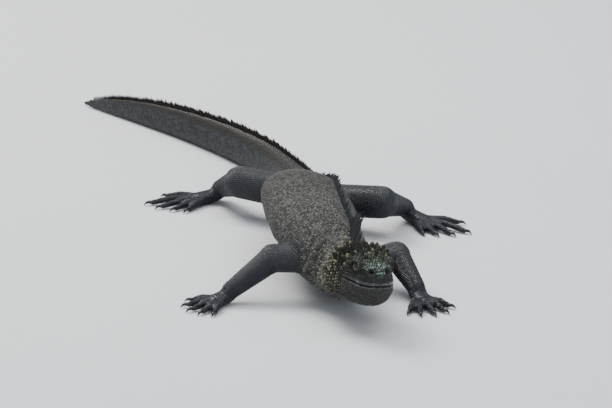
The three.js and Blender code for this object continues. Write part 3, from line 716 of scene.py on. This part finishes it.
def body_scales(name, shape, start, end, pitch, height, near, keep, low=0.0, high=TURN):
    """Scales on a stretch of the body, where the skin is near and keep allows them. The angle is corrected so
    that rows keep even steps round the section."""
    pitch_at = lambda at: along(pitch, at)
    s, turn = rows_of(start, end, lambda at: 0.9 * pitch_at(at), pitch_at, low, high, girth)
    fine = np.linspace(0, TURN, 181)
    spacing = 4.0
    grid_s = np.arange(start - 2, end + spacing, spacing)
    outline = body_point(np.clip(grid_s, 0.5, TAIL_TIP)[:, None], fine[None, :])
    walked = np.cumsum(length(np.diff(outline, axis=1)), axis=1)
    walked = np.concatenate([np.zeros((len(grid_s), 1)), walked], 1)
    walked *= TURN / walked[:, -1:]
    row = np.clip(((s - grid_s[0]) / spacing).astype(int), 0, len(grid_s) - 1)
    angle = np.empty(len(s))
    for k in np.unique(row):
        angle[row == k] = np.interp(turn[row == k] % TURN, walked[k], fine)
    roots = body_point(s, angle, -COAT_DEPTH)
    lie = body_point(s + 1.5, angle) - body_point(s - 1.5, angle)
    places, normals, far = on_skin(roots)
    good = (far < near) & (places[:, 2] > 0.25) & keep(s, places)
    width = along(pitch, s) * rng.uniform(0.9, 1.08, len(s))
    sizes = np.stack([width * 1.12, width, along(height, s) * rng.uniform(0.75, 1.25, len(s))], 1)
    place = np.stack([(turn % TURN) / TURN, (s - start) / (end - start)], 1)
    return set_scales(name, shape, places[good], normals[good], lie[good], sizes[good], place[good])


def limb_scales(name, limb):
    """Keeled scales on both lengths of a limb, its palm and its digits, in rows that run slantwise round
    it."""
    rows = []
    slant = 1.1

    def add(joints, radii, flatness, coat, spot_row, stretch=1.15):
        pitch, height = coat
        reach = float(length(np.diff(np.array(joints, float), axis=0)).sum())
        start, end = -0.17 * max(radii) / 14, 1.15
        around = lambda at: float(np.interp(np.clip(at, 0, 1), np.linspace(0, 1, len(radii)), radii))
        t, turn = rows_of(start, end, lambda at: 0.92 * pitch / reach, lambda at: pitch, 0, TURN, around)
        turn = turn + slant * t
        point = tube_point(joints, np.array(radii) - COAT_DEPTH, t, turn, flatness)
        ahead = tube_point(joints, np.array(radii) - COAT_DEPTH, t + 0.02, turn, flatness)
        width = pitch * rng.uniform(0.9, 1.1, len(t))
        size = np.stack([width * stretch, width, height * rng.uniform(0.75, 1.25, len(t))], 1)
        down = spot_row[0] + spot_row[1] * np.clip((t + 0.2) / 1.4, 0, 1)
        rows.append((point, ahead - point, size, np.stack([(turn % TURN) / TURN, down], 1)))

    joints = limb["joints"]
    radii = limb["radii"]
    add(joints[:2], radii[:2], 1.0, UPPER_COAT, (0.0, 0.3))
    add(joints[1:], radii[2:], 1.0, LOWER_COAT, (0.32, 0.3))
    palm, digits, _ = paw_plan(limb)
    add(palm[0], palm[1], PALM_FLATNESS, PALM_COAT, (0.64, 0.14))
    for k, (digit_joints, digit_radii) in enumerate(digits):
        add(digit_joints, digit_radii, 1.0, DIGIT_COAT, (0.8 + 0.038 * k, 0.03), stretch=1.3)
    roots, lies, sizes, spots = map(np.concatenate, zip(*rows))
    places, normals, far = on_skin(roots)
    good = (far < 1.6) & (places[:, 2] > 0.25)
    return set_scales(name, KEELED, places[good], normals[good], lies[good], sizes[good], spots[good])


def crown_scales():
    """Blunt cones over the snout and crown, small in front, tall behind the eyes, among low plates."""
    first, last, reach = 9, 62, 1.1
    pitch = lambda at: 5.0
    s, angle = rows_of(first, last, pitch, pitch, -reach, reach, lambda at: along(HALF_WIDTH, at) * 1.15)
    s = np.clip(s + rng.normal(0, 0.9, len(s)), first, last + 1)
    angle = angle + rng.normal(0, 0.035, len(s))
    height = along(CROWN_HEIGHT, s) * (1 - 0.45 * (np.abs(angle) / reach) ** 2)
    height *= rng.choice([0.5, 0.8, 1.05, 1.35], len(s)) * rng.uniform(0.9, 1.1, len(s))
    places, normals, far = on_skin(body_point(s, angle, -COAT_DEPTH))
    good = (far < 2.5) & (distance_to(EYE, places) > 8.3) & (distance_to(NOSTRIL, places) > 4.6)
    wide = np.minimum(6.4, 3.6 + 0.46 * height)
    sizes = np.stack([wide, wide * rng.uniform(0.8, 1.05, len(s)), height], 1)
    lean = unit(normals + 0.34 * HEAD_BACK + rng.normal(0, 0.1, (len(s), 3)))
    place = np.stack([angle / 2.4 + 0.5, (s - 6) / 60], 1)
    lie = np.full((good.sum(), 3), HEAD_BACK)
    kept = (places[good], lean[good], lie, sizes[good], place[good])
    return set_scales("crown_scales", CROWN_CONE, *kept, {"crown": 1.0})


def face_scales():
    """Small many-sided scales over the rest of the head, larger towards the neck."""
    pitch = [(0, 2.0), (20, 2.7), (45, 3.1), (66, 3.2)]
    tall = [(0, 0.7), (20, 1.2), (66, 1.6)]

    def keep(s, places):
        behind, _, z = head_coordinates(places)
        clear = (ear_distance(behind, z) > 4.2) & (behind < 66)
        clear &= np.abs(z - mouth_level(behind)) > np.where(behind < 37, 3.6, 0)
        return clear & (distance_to(EYE, places) > 7.3) & (distance_to(NOSTRIL, places) > 3.4)

    return body_scales("face_scales", GRAIN, 1.0, 64.5, pitch, tall, 3.2, keep)


def jowl_scales():
    """Large pointed scales in loose rows on the jowls and the sides of the neck."""
    pitch = [(36, 3.6), (56, 4.6), (84, 3.6)]
    tall = [(36, 1.6), (50, 3.2), (66, 3.0), (84, 2.0)]
    low = 0.95

    def keep(s, places):
        behind, _, z = head_coordinates(places)
        beside_mouth = (behind > 50) | (z > mouth_level(behind) + 6) | (z < mouth_level(behind) - 9)
        clear = (ear_distance(behind, z) > 5.2) & (z > 27) & beside_mouth
        return clear & (rng.random(len(z)) < 0.85)

    return body_scales("jowl_scales", CONE, 36, 84, pitch, tall, 3.0, keep, low, TURN - low)


def ray_round_head(angle, z, behind=24.0):
    """Where level rays from inside the head meet its skin. The angle runs from straight ahead to the
    right."""
    found = []
    for a, height in zip(angle, z):
        ray = -HEAD_BACK * np.cos(a) + HEAD_RIGHT * np.sin(a)
        origin = head_point(behind, 0.0, height)
        place, normal, _, _ = SKIN_TREE.ray_cast(origin.tolist(), ray.tolist())
        found.append((place, normal) if place is not None else (origin, ray))
    return np.array([f[0] for f in found]), np.array([f[1] for f in found])


def lip_scales():
    """A row of upright plates over the mouth and one under it, round the snout from corner to corner."""
    angle = np.linspace(-1.95, 1.95, 37)
    angle = angle + 0.12 * np.sin(2 * angle)
    rows = []
    for row, (rise, tall) in enumerate(LIP_ROWS):
        rough, _ = ray_round_head(angle, np.full(len(angle), MOUTH["front"] + rise))
        behind, _, _ = head_coordinates(rough)
        places, out = ray_round_head(angle, mouth_level(behind) + rise)
        behind, _, _ = head_coordinates(places)
        good = behind < MOUTH["behind"]
        step = length(np.gradient(places, axis=0))
        size = np.stack([np.full(len(step), tall), step * 0.94, np.full(len(step), 0.45)], 1)
        spot = np.stack([angle / 4.2 + 0.5, np.full(len(step), 0.3 + 0.3 * row)], 1)
        rows.append((places[good], out[good], size[good], spot[good]))
    roots, normals, sizes, spots = map(np.concatenate, zip(*rows))
    corner = np.array([[1, 1], [-1, 1], [-1, -1], [1, -1]]) * 0.5
    base = np.concatenate([corner, np.full((4, 1), -0.6)], 1)
    middle = np.concatenate([corner * 0.94, np.full((4, 1), 0.55)], 1)
    top = np.concatenate([corner * 0.6, np.full((4, 1), 1.0)], 1)
    i = np.arange(4)
    j = (i + 1) % 4
    sides = [np.stack([i + low, j + low, j + low + 4, i + low + 4], 1) for low in (0, 4)]
    quads = np.concatenate([*sides, [[8, 9, 10, 11]], [[3, 2, 1, 0]]])
    shape = (np.concatenate([base, middle, top]), quads, np.empty((0, 3), int))
    lie = np.broadcast_to(HEAD_UP, roots.shape).copy()
    return set_scales("lip_scales", shape, roots, normals, lie, sizes, spots, shade_smooth=True)


def lid_scales():
    """Two rings of grains round each eye, on the rim of the lids and outside it."""
    rows = []
    for k, sign in enumerate(SIDES):
        for ring, (radius, count, width) in enumerate(LID_RINGS):
            turn = steps_round(count)
            behind = EYE["behind"] + radius * LID["long"] * np.cos(turn)
            z = EYE["height"] + LID["rise"] + radius * LID["tall"] * np.sin(turn)
            root = head_point(behind, sign * (EYE["side"] + 4.5), z)
            lie = HEAD_BACK * np.cos(turn)[:, None] + HEAD_UP * np.sin(turn)[:, None]
            spot = np.stack([turn / TURN, np.full(count, 0.2 + 0.4 * k + 0.12 * ring)], 1)
            rows.append((root, lie, np.tile([width, width, 0.8], (count, 1)), spot))
    roots, lies, sizes, spots = map(np.concatenate, zip(*rows))
    places, normals, _ = on_skin(roots)
    return set_scales("lid_scales", GRAIN, places, normals, lies, sizes, spots)


# The crest

def crest_direction(s):
    """The way a spine points: off the rolled ridge, leaning back and to the animal's left."""
    _, right, tailwards = body_frame(s)
    tilt = np.radians(along(ROLL, s) + along(CREST_LEAN_LEFT, s))
    lean = np.tan(np.radians(CREST_LEAN_BACK))
    return unit(UP * np.cos(tilt)[:, None] - right * np.sin(tilt)[:, None] + tailwards * lean)


def crest_spines(name, start, end):
    """Lance-shaped spines: each a grid of height by turn round a flat oval, widest low down, bending back a
    little, its edges thin. Edge is one along both thin edges, and tip rises with height."""
    s = [start]
    while s[-1] < end:
        s.append(s[-1] + float(along(CREST_PITCH, s[-1])) * rng.uniform(0.92, 1.08))
    s = np.array(s[:-1])
    height = along(CREST_HEIGHT, s) * rng.uniform(0.74, 1.06, len(s))
    direction = crest_direction(s)
    _, _, tailwards = body_frame(s)
    across = unit(np.cross(direction, tailwards))
    flat = np.cross(across, direction)
    slim = np.minimum(1.0, 0.42 + height / 20)
    width = along(CREST_PITCH, s) * slim * along(CREST_OVERLAP, s)
    bend = rng.uniform(0.04, 0.12, len(s)) * height
    sway = rng.normal(0, 0.06, len(s)) * height
    ridge = body_point(s, 0, -COAT_DEPTH)
    turn = steps_round(8)
    thick = 1.0 + 0.06 * height
    rise, share = SPINE_RISE[:, None, None], SPINE_SHARE[:, None, None]
    cos, sin = np.cos(turn)[:, None], np.sin(turn)[:, None]
    root, way, long, wide = (v[:, None, None] for v in (ridge, direction, flat, across))
    tall, width, thick, bend, sway = (v[:, None, None, None] for v in (height, width, thick, bend, sway))
    grid = root + rise * tall * way + rise**2 * (bend * long + sway * wide)
    grid = grid + share * (cos * width * long + sin * thick * wide) / 2
    points, quads, fans = joined(list(grid))
    per = len(SPINE_RISE) * len(turn) + 2
    edge = np.concatenate([np.tile(np.abs(np.cos(turn)) ** 6, len(SPINE_RISE)), [0, 0.5]])
    tip = np.concatenate([np.repeat(np.clip(SPINE_RISE, 0, 1), len(turn)), [0, 1]])
    spot = np.stack([0.5 + 0.4 * np.sin(s * 2.4), 0.02 + 0.96 * (s - start) / (end - start)], 1)
    local = np.stack(np.meshgrid(np.cos(turn), SPINE_RISE), -1).reshape(-1, 2)
    local = np.concatenate([local, [[0, 0], [0, 1]]])
    patch = (spot[:, None, :] + PATCH * local[None]).reshape(-1, 2)
    marks = {key: np.repeat(values, per) for key, values in markings(ridge).items()}
    tone = np.repeat(rng.random(len(s)), per)
    marks.update(edge=np.tile(edge, len(s)), tip=np.tile(tip, len(s)), tone=tone)
    return make_piece(name, points, [quads, fans], marks, patch)


# Claws and eyes

def make_claws():
    """Curved cones at the ends of the digits, thicker below, all in one piece."""
    shapes = []
    for limb in LIMBS.values():
        for joints, radii in paw_plan(limb)[2]:
            t = np.concatenate([[-0.1], np.linspace(0, 1, 12)])
            shapes.append(tube_point(joints, radii, t[:, None], steps_round(14)[None, :]))
    points, quads, fans = joined(shapes)
    return make_piece("claws", points, [quads, fans])


def make_eyes():
    """Two balls as grids round the line of sight, with the distance from its middle as a number for the
    iris."""
    shapes = []
    polar = np.linspace(0.03, np.pi - 0.03, 40)
    turn = steps_round(56)
    for sign in SIDES:
        centre = feature_place(EYE, sign)
        sight = unit(HEAD_RIGHT * sign - 0.45 * HEAD_BACK)
        across = unit(np.cross(sight, HEAD_UP))
        over = np.cross(across, sight)
        bulge = 1 + 0.05 * bump(polar, 0.5)
        circle = np.cos(turn)[None, :, None] * across + np.sin(turn)[None, :, None] * over
        ring = np.sin(polar)[:, None, None] * circle
        ball = (np.cos(polar)[:, None, None] * sight + ring) * bulge[:, None, None] * (EYE["radius"] - 0.5)
        shapes.append(centre - 0.7 * sight + ball)
    points, quads, fans = joined(shapes)
    one = np.concatenate([np.repeat(polar, len(turn)), [0, np.pi]])
    return make_piece("eyes", points, [quads, fans], {"polar": np.tile(one, 2)})


# Materials

class Wire:
    """A number on its way through the shader. Sums and products of wires and numbers add the nodes they
    need."""

    def __init__(self, finish, socket):
        self.finish = finish
        self.socket = socket

    def worked(self, operation, first, second):
        return self.finish.node("Math", {"operation": operation}, {0: first, 1: second})

    def __add__(self, other):
        return self.worked("ADD", self, other)

    def __radd__(self, other):
        return self.worked("ADD", other, self)

    def __sub__(self, other):
        return self.worked("SUBTRACT", self, other)

    def __rsub__(self, other):
        return self.worked("SUBTRACT", other, self)

    def __mul__(self, other):
        return self.worked("MULTIPLY", self, other)

    def __rmul__(self, other):
        return self.worked("MULTIPLY", other, self)


class Finish:
    """A material being made, with short ways to the nodes it uses."""

    def __init__(self, name):
        self.material = bpy.data.materials.new(name)
        self.material.use_nodes = True
        self.tree = self.material.node_tree
        self.tree.nodes.clear()
        self.object_place = self.node("TexCoord", {}, {}, "Object")

    def node(self, kind, settings, inputs, output=0):
        """Any shader node: its settings first, then the numbers or wires of its sockets, and the output
        wanted."""
        made = self.tree.nodes.new("ShaderNode" + kind)
        for key, value in settings.items():
            setattr(made, key, value)
        for key, value in inputs.items():
            if isinstance(value, Wire):
                self.tree.links.new(value.socket, made.inputs[key])
            else:
                made.inputs[key].default_value = value
        return Wire(self, made.outputs[output])

    def mark(self, name):
        """One of the piece's own numbers."""
        return self.node("Attribute", {"attribute_name": name}, {}, "Fac")

    def noise(self, size, detail=3.0, roughness=0.55):
        """Soft noise whose lumps are about size metres across."""
        inputs = {"Vector": self.object_place, "Scale": 1 / size, "Detail": detail, "Roughness": roughness}
        return self.node("TexNoise", {}, inputs, "Fac")

    def step(self, value, low, high):
        """Zero below low, one above high, smooth between."""
        inputs = {"Value": value, "From Min": low, "From Max": high, "To Min": 0.0, "To Max": 1.0}
        return self.node("MapRange", {"interpolation_type": "SMOOTHSTEP"}, inputs)

    def mix(self, share, first, second):
        """From the first colour to the second."""
        inputs = {0: share, 6: opaque(first), 7: opaque(second)}
        return self.node("Mix", {"data_type": "RGBA"}, inputs, 2)

    def relief(self, height, depth):
        """A normal bent by a height of the given depth in metres."""
        return self.node("Bump", {}, {"Strength": 1.0, "Distance": depth, "Height": height})

    def surface(self, inputs):
        """Ends the material in a Principled shader and links that to the output."""
        shader = self.node("BsdfPrincipled", {}, inputs)
        output = self.tree.nodes.new("ShaderNodeOutputMaterial")
        self.tree.links.new(shader.socket, output.inputs["Surface"])
        return self.material


def opaque(colour):
    """A colour of three numbers with an alpha of one, or a wire as it is."""
    return colour if isinstance(colour, Wire) else (*colour, 1.0)


BLACK = (0.008, 0.009, 0.01)
BACK_DARK = (0.022, 0.022, 0.021)
BACK_MID = (0.075, 0.074, 0.068)
BACK_LIGHT = (0.23, 0.226, 0.205)
REAR_MID = (0.065, 0.063, 0.056)
REAR_LIGHT = (0.13, 0.126, 0.113)
# Limbs: dark below as painted shade, paler on top as painted light.
LIMB_DARK = (0.007, 0.0095, 0.0145)
LIMB_LIT_TOP = (0.046, 0.048, 0.05)
TAIL_GREY_AND_SKY_SHEEN = (0.036, 0.044, 0.054)
TAIL_DARK = (0.0085, 0.008, 0.0075)
TAIL_BROWN = (0.013, 0.0105, 0.008)
HEAD_DARK = (0.011, 0.012, 0.0105)
HEAD_GREY = (0.07, 0.068, 0.052)
OLIVE = (0.25, 0.24, 0.13)
ALGAE = (0.026, 0.062, 0.028)
SALT = (0.3, 0.42, 0.38)
LIP_SKY_REFLECTION = (0.075, 0.085, 0.097)
RUST = (0.12, 0.05, 0.028)
SPINE_SLATE = (0.018, 0.022, 0.029)
SPINE_EDGE = (0.26, 0.255, 0.235)
CONE_BROWN = (0.085, 0.055, 0.032)
CONE_TAN = (0.2, 0.175, 0.1)
CONE_BASE = (0.034, 0.034, 0.028)
ALGAE_TIP = (0.1, 0.17, 0.09)
# Black of the pupils, and painted shade in the face's pits.
PUPIL_AND_PIT_SHADE_BLACK = (0.002, 0.002, 0.002)
CLAW_BLACK = (0.008, 0.008, 0.009)
CLAW_WORN = (0.09, 0.08, 0.07)
IRIS_INNER = (0.03, 0.018, 0.01)
IRIS_OUTER = (0.008, 0.006, 0.004)
EYE_RIM = (0.012, 0.01, 0.009)
GROUND_DULL = (0.66, 0.67, 0.68)
GROUND_PALE = (0.72, 0.73, 0.74)


def skin_finish():
    """The one finish of skin and scales. Each scale has its own tone, paler at the tip as a painted
    highlight; the marks say where limb, tail, head, jowl, algae, salt and lips are. Painted light makes the
    limbs paler on top, a painted sky reflection lines the lips and partly tints the tail, and painted shade
    blackens the pits; wet places are smoother and shine."""
    f = Finish("iguana_skin")
    tone, tip = f.mark("tone"), f.mark("tip")
    cloud, fleck, grain = f.noise(0.03, 4.0), f.noise(0.0032, 3.0, 0.7), f.noise(0.0009, 2.0)
    # Tone, fleck and cloud are the skin's own mottle; the tip share in this and the mixes below is a painted
    # highlight on each scale.
    light = f.step(tone * 0.55 + fleck * 0.3 + tip * 0.4 + cloud * 0.15, 0.72, 1.35)
    shade = f.step(tone * 0.5 + fleck * 0.5 + cloud * 0.3, 0.35, 0.8)
    front = f.mix(light, f.mix(shade, BACK_DARK, BACK_MID), BACK_LIGHT)
    rear = f.mix(light, f.mix(shade, BACK_DARK, REAR_MID), REAR_LIGHT)
    back = f.mix(f.mark("rear"), front, rear)
    olive = f.step(f.mark("shoulder") * 0.5 + tone * 0.6 + tip * 0.3, 1.0, 1.3)
    colour = f.mix(olive * 0.35, back, OLIVE)
    # The tail's blue-grey is partly its own colour, partly a painted reflection of the sky.
    tail = f.mix(f.step(tone * 0.5 + fleck * 0.6, 0.3, 0.95), TAIL_DARK, TAIL_GREY_AND_SKY_SHEEN)
    tail = f.mix(f.mark("ridge") * (0.7 + fleck * 0.5), tail, TAIL_BROWN)
    colour = f.mix(f.mark("tail"), colour, tail)
    # Painted light on the limbs: paler the higher they reach, dark lower down as painted shade.
    height = f.node("SeparateXYZ", {}, {"Vector": f.object_place}, "Z")
    painted_top_light = f.step(height + cloud * 0.02, 0.028, 0.062)
    limb = f.mix(painted_top_light * f.step(tone * 0.4 + tip * 0.5 + cloud * 0.4, 0.2, 1.0), LIMB_DARK, LIMB_LIT_TOP)
    colour = f.mix(f.mark("limb"), colour, limb)
    # Head: paler scale tips here are a painted highlight.
    head = f.mix(f.step(tone * 0.5 + fleck * 0.4 + tip * 0.4, 0.7, 1.25), HEAD_DARK, HEAD_GREY)
    rust = f.step(fleck + tone * 0.4, 0.8, 1.0)
    head = f.mix(f.mark("chin") * 0.75, head, HEAD_DARK)
    head = f.mix(f.mark("chin") * rust * 0.35, head, RUST)
    # Algae paler at the scale tips: a painted highlight.
    green = f.mix(f.step(tip + tone * 0.4, 0.6, 1.2), ALGAE, ALGAE_TIP)
    head = f.mix(f.mark("algae") * f.step(fleck + tone * 0.5, 0.62, 1.0) * 0.85, head, green)
    colour = f.mix(f.mark("head"), colour, head)
    # Olive tips on the jowls: partly their own colour, partly a painted highlight.
    tips = f.step(tip + tone * 0.6 + fleck * 0.4, 0.95, 1.45)
    colour = f.mix(f.mark("jowl") * tips * 0.8, colour, OLIVE)
    crusted = f.mark("salt") * f.step(fleck + grain * 0.3 + tone * 0.3 + tip * 0.15, 0.76, 1.08)
    colour = f.mix(crusted * 0.6, colour, SALT)
    # Painted reflection: thin grey-blue lines of sky along the lips.
    colour = f.mix(f.mark("lip") * f.step(fleck + tone * 0.5, 0.3, 1.0) * 0.85, colour, LIP_SKY_REFLECTION)
    # Painted shade in the nostrils, the mouth's groove, the ears and the eye sockets.
    colour = f.mix(f.mark("pit_shade"), colour, PUPIL_AND_PIT_SHADE_BLACK)
    wet = f.mark("limb") * 0.25 + f.mark("head") * 0.14 + f.mark("tail") * 0.26 + f.mark("lip") * 0.2
    rough = 0.64 + grain * 0.12 - wet
    gloss = f.mark("limb") * 0.1 + f.mark("tail") * 0.12 + f.mark("lip") * 0.5 + f.mark("chin") * 0.2
    return f.surface({
        "Base Color": colour,
        "Roughness": rough,
        "Specular IOR Level": 0.32,
        "Coat Weight": gloss,
        "Coat Roughness": 0.16,
        "Normal": f.relief(f.noise(0.0011, 3.0, 0.7), 0.00016),
    })


def horn_finish():
    """Crest and crown: slate spines with thin pale edges, cones whose brown and tan tips are partly a painted
    highlight, fine grooves along each.
    """
    f = Finish("iguana_horn")
    tone, tip, edge = f.mark("tone"), f.mark("tip"), f.mark("edge")
    streak = f.noise(0.0016, 3.0, 0.7)
    body = f.mix(f.step(tone * 0.7 + streak * 0.5, 0.35, 0.95), BLACK, SPINE_SLATE)
    body = f.mix(f.mark("tail") * 0.8, body, TAIL_BROWN)
    pale = f.step(edge, 0.55, 1.0) * f.step(streak + tone * 0.6, 0.55, 1.0) * (0.8 - f.mark("tail") * 0.7)
    colour = f.mix(pale, body, SPINE_EDGE)
    base = f.mix(tone, HEAD_DARK, CONE_BASE)
    # Brown to tan on the cones' upper parts: partly their own colour, partly a painted highlight that grows
    # towards the tips.
    worn = f.mix(f.step(tone, 0.55, 0.8), CONE_BROWN, CONE_TAN)
    crown = f.mix(f.step(tip * 0.6 + streak * 0.6 + tone * 0.6, 0.98, 1.4), base, worn)
    crown = f.mix(f.mark("algae") * f.step(streak + tone * 0.5, 0.6, 1.1) * 0.6, crown, ALGAE)
    crown = f.mix(f.mark("salt") * f.step(streak, 0.45, 0.7), crown, SALT)
    colour = f.mix(f.mark("crown"), colour, crown)
    return f.surface({
        "Base Color": colour,
        "Roughness": 0.5 + streak * 0.3,
        "Specular IOR Level": 0.09,
        "Normal": f.relief(streak, 0.00018),
    })


def claw_finish():
    """Black horn, worn paler in patches, with fine scratches."""
    f = Finish("iguana_claw")
    worn = f.step(f.noise(0.0022, 4.0, 0.7), 0.5, 0.8)
    return f.surface({
        "Base Color": f.mix(worn * 0.4, CLAW_BLACK, CLAW_WORN),
        "Roughness": 0.22 + worn * 0.3,
        "Normal": f.relief(f.noise(0.0007, 2.0), 0.00006),
    })


def eye_finish():
    """A round black pupil in a brown iris that darkens outwards, under a wet gloss."""
    f = Finish("iguana_eye")
    polar = f.mark("polar")
    rays = f.noise(0.0012, 4.0, 0.7)
    iris = f.mix(f.step(polar + rays * 0.2, 0.4, 0.75), IRIS_INNER, IRIS_OUTER)
    colour = f.mix(f.step(polar, 0.27, 0.31), PUPIL_AND_PIT_SHADE_BLACK, iris)
    colour = f.mix(f.step(polar, 0.78, 0.95), colour, EYE_RIM)
    return f.surface({
        "Base Color": colour,
        "Roughness": 0.16,
        "Specular IOR Level": 0.4,
        "Coat Weight": 0.25,
    })


def floor_finish():
    """Pale matt ground with the faintest unevenness."""
    f = Finish("pale_ground")
    shade = f.noise(0.6, 3.0)
    return f.surface({"Base Color": f.mix(shade, GROUND_DULL, GROUND_PALE), "Roughness": 0.75})


# Pieces

# Coat of the body between two distances: its shape, pitch, height, how near the skin must be, and the slot
TAIL_PITCH = [(352, 2.7), (500, 3.1), (790, 2.4)]
TAIL_TALL = [(352, 0.6), (500, 0.75), (790, 0.4)]
BODY_COATS = [
    ("neck", CONE, 66, 112, [(66, 3.0), (112, 2.4)], [(66, 1.8), (112, 1.1)], 3.0, "back_skin"),
    ("shoulder", GRAIN, 112, 178, [(112, 2.4), (178, 2.1)], [(112, 1.0), (178, 0.65)], 2.2, "back_skin"),
    ("back", GRAIN, 178, 262, [(178, 2.1), (262, 2.0)], [(178, 0.65), (262, 0.45)], 2.2, "back_skin"),
    ("hip", GRAIN, 262, 352, [(262, 2.0), (352, 2.3)], [(262, 0.45), (352, 0.5)], 2.2, "back_skin"),
    ("tail", PLATE, 352, 790, TAIL_PITCH, TAIL_TALL, 2.2, "tail_skin"),
]
# Tone of the skin between the scales, kept low so that it stays darker: painted shade between the scales.
SHADED_SKIN_TONE = 0.25
CRESTS = [
    ("neck_crest", 66, 127, "back_skin"),
    ("back_crest", 129, 350, "back_skin"),
    ("tail_crest", 353, TAIL_TIP - 16, "tail_skin"),
]


def off_ridge(s, places):
    """True where the crest leaves room for scales."""
    return length(places - body_point(s, 0)) > 1.6


def make_pieces():
    """Every piece with its finish, attached to the root."""
    skin, horn = skin_finish(), horn_finish()
    marks = markings(SKIN_POINTS)
    # The skin between the scales gets a low tone and no tip, so it stays darker: painted shade between the
    # scales.
    marks.update(tone=SHADED_SKIN_TONE, tip=0.0)
    pieces = [(make_piece("skin", SKIN_POINTS, SKIN_FACES, marks), skin, "back_skin")]
    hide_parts(*[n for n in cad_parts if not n.startswith("eye")])
    pieces += [(make(), skin, "head_skin") for make in (face_scales, jowl_scales, lip_scales, lid_scales)]
    pieces.append((crown_scales(), horn, "head_skin"))
    for name, *coat, slot in BODY_COATS:
        pieces.append((body_scales(f"{name}_scales", *coat, off_ridge), skin, slot))
    pieces += [(crest_spines(*stretch), horn, slot) for *stretch, slot in CRESTS]
    pieces.append((make_claws(), claw_finish(), "limb_skin"))
    pieces += [(limb_scales(f"{name}_scales", limb), skin, "limb_skin") for name, limb in LIMBS.items()]
    eyes = make_eyes()
    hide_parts("eye_right", "eye_left")
    pieces.append((eyes, eye_finish(), "eye"))
    for piece, finish, slot in pieces:
        piece.data.materials.append(finish)
        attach(piece, "root")


# Camera, light and ground

CAMERA = {"lens": 278.6, "sensor": 36.0, "place": [0.0, -4200.0, 1622.0], "down": 19.5}

# Lamps, in metres and watts: name, place, aim, size, power and colour
LAMPS = [
    ("key", (-1.1, 1.0, 2.2), (0, -0.1, 0), 1.3, 80.0, (1.0, 0.97, 0.93)),
    ("top", (0.4, -0.2, 2.6), (0, 0, 0), 2.2, 45.0, (0.93, 0.97, 1.0)),
    ("front", (0.9, -2.4, 1.5), (0, -0.2, 0), 1.6, 18.0, (1.0, 0.98, 0.96)),
]
SKY = {"Color": (0.86, 0.92, 1.0, 1.0), "Strength": 0.62}
GROUND_REACH = 60.0
GROUND_LEVEL = -0.0003


def make_camera():
    """The photograph's view: 4.2 m in front and 1.6 m up, looking down, through a long lens."""
    data = bpy.data.cameras.new("camera")
    data.sensor_width = CAMERA["sensor"]
    data.lens = CAMERA["lens"]
    data.clip_end = 200.0
    camera = linked("camera", data)
    camera.location = SHIFT + METRE * np.array(CAMERA["place"])
    camera.rotation_euler = (np.radians(90 - CAMERA["down"]), 0.0, 0.0)
    bpy.context.scene.camera = camera


def make_light(name, place, aim, size, power, colour):
    """A square soft light at a place, turned to face another."""
    data = bpy.data.lights.new(name, "AREA")
    data.shape = "SQUARE"
    data.size = size
    data.energy = power
    data.color = colour
    light = linked(name, data)
    away = np.array(place, float) - np.array(aim, float)
    yaw = np.arctan2(away[1], away[0]) + np.pi / 2
    light.location = place
    light.rotation_euler = (np.arctan2(np.hypot(away[0], away[1]), away[2]), 0.0, yaw)


def make_stage():
    """A wide pale floor just under the animal, an even sky and the soft lamps."""
    mesh = bpy.data.meshes.new("ground")
    corners = [(GROUND_REACH * x, GROUND_REACH * y, 0.0) for x, y in ((-1, -1), (1, -1), (1, 1), (-1, 1))]
    mesh.from_pydata(corners, [], [(0, 1, 2, 3)])
    ground = linked("ground", mesh)
    ground.location = (0.0, 0.0, GROUND_LEVEL)
    mesh.materials.append(floor_finish())
    world = bpy.data.worlds.new("sky")
    world.use_nodes = True
    for key, value in SKY.items():
        world.node_tree.nodes["Background"].inputs[key].default_value = value
    bpy.context.scene.world = world
    for lamp in LAMPS:
        make_light(*lamp)


make_camera()
make_pieces()
make_stage()
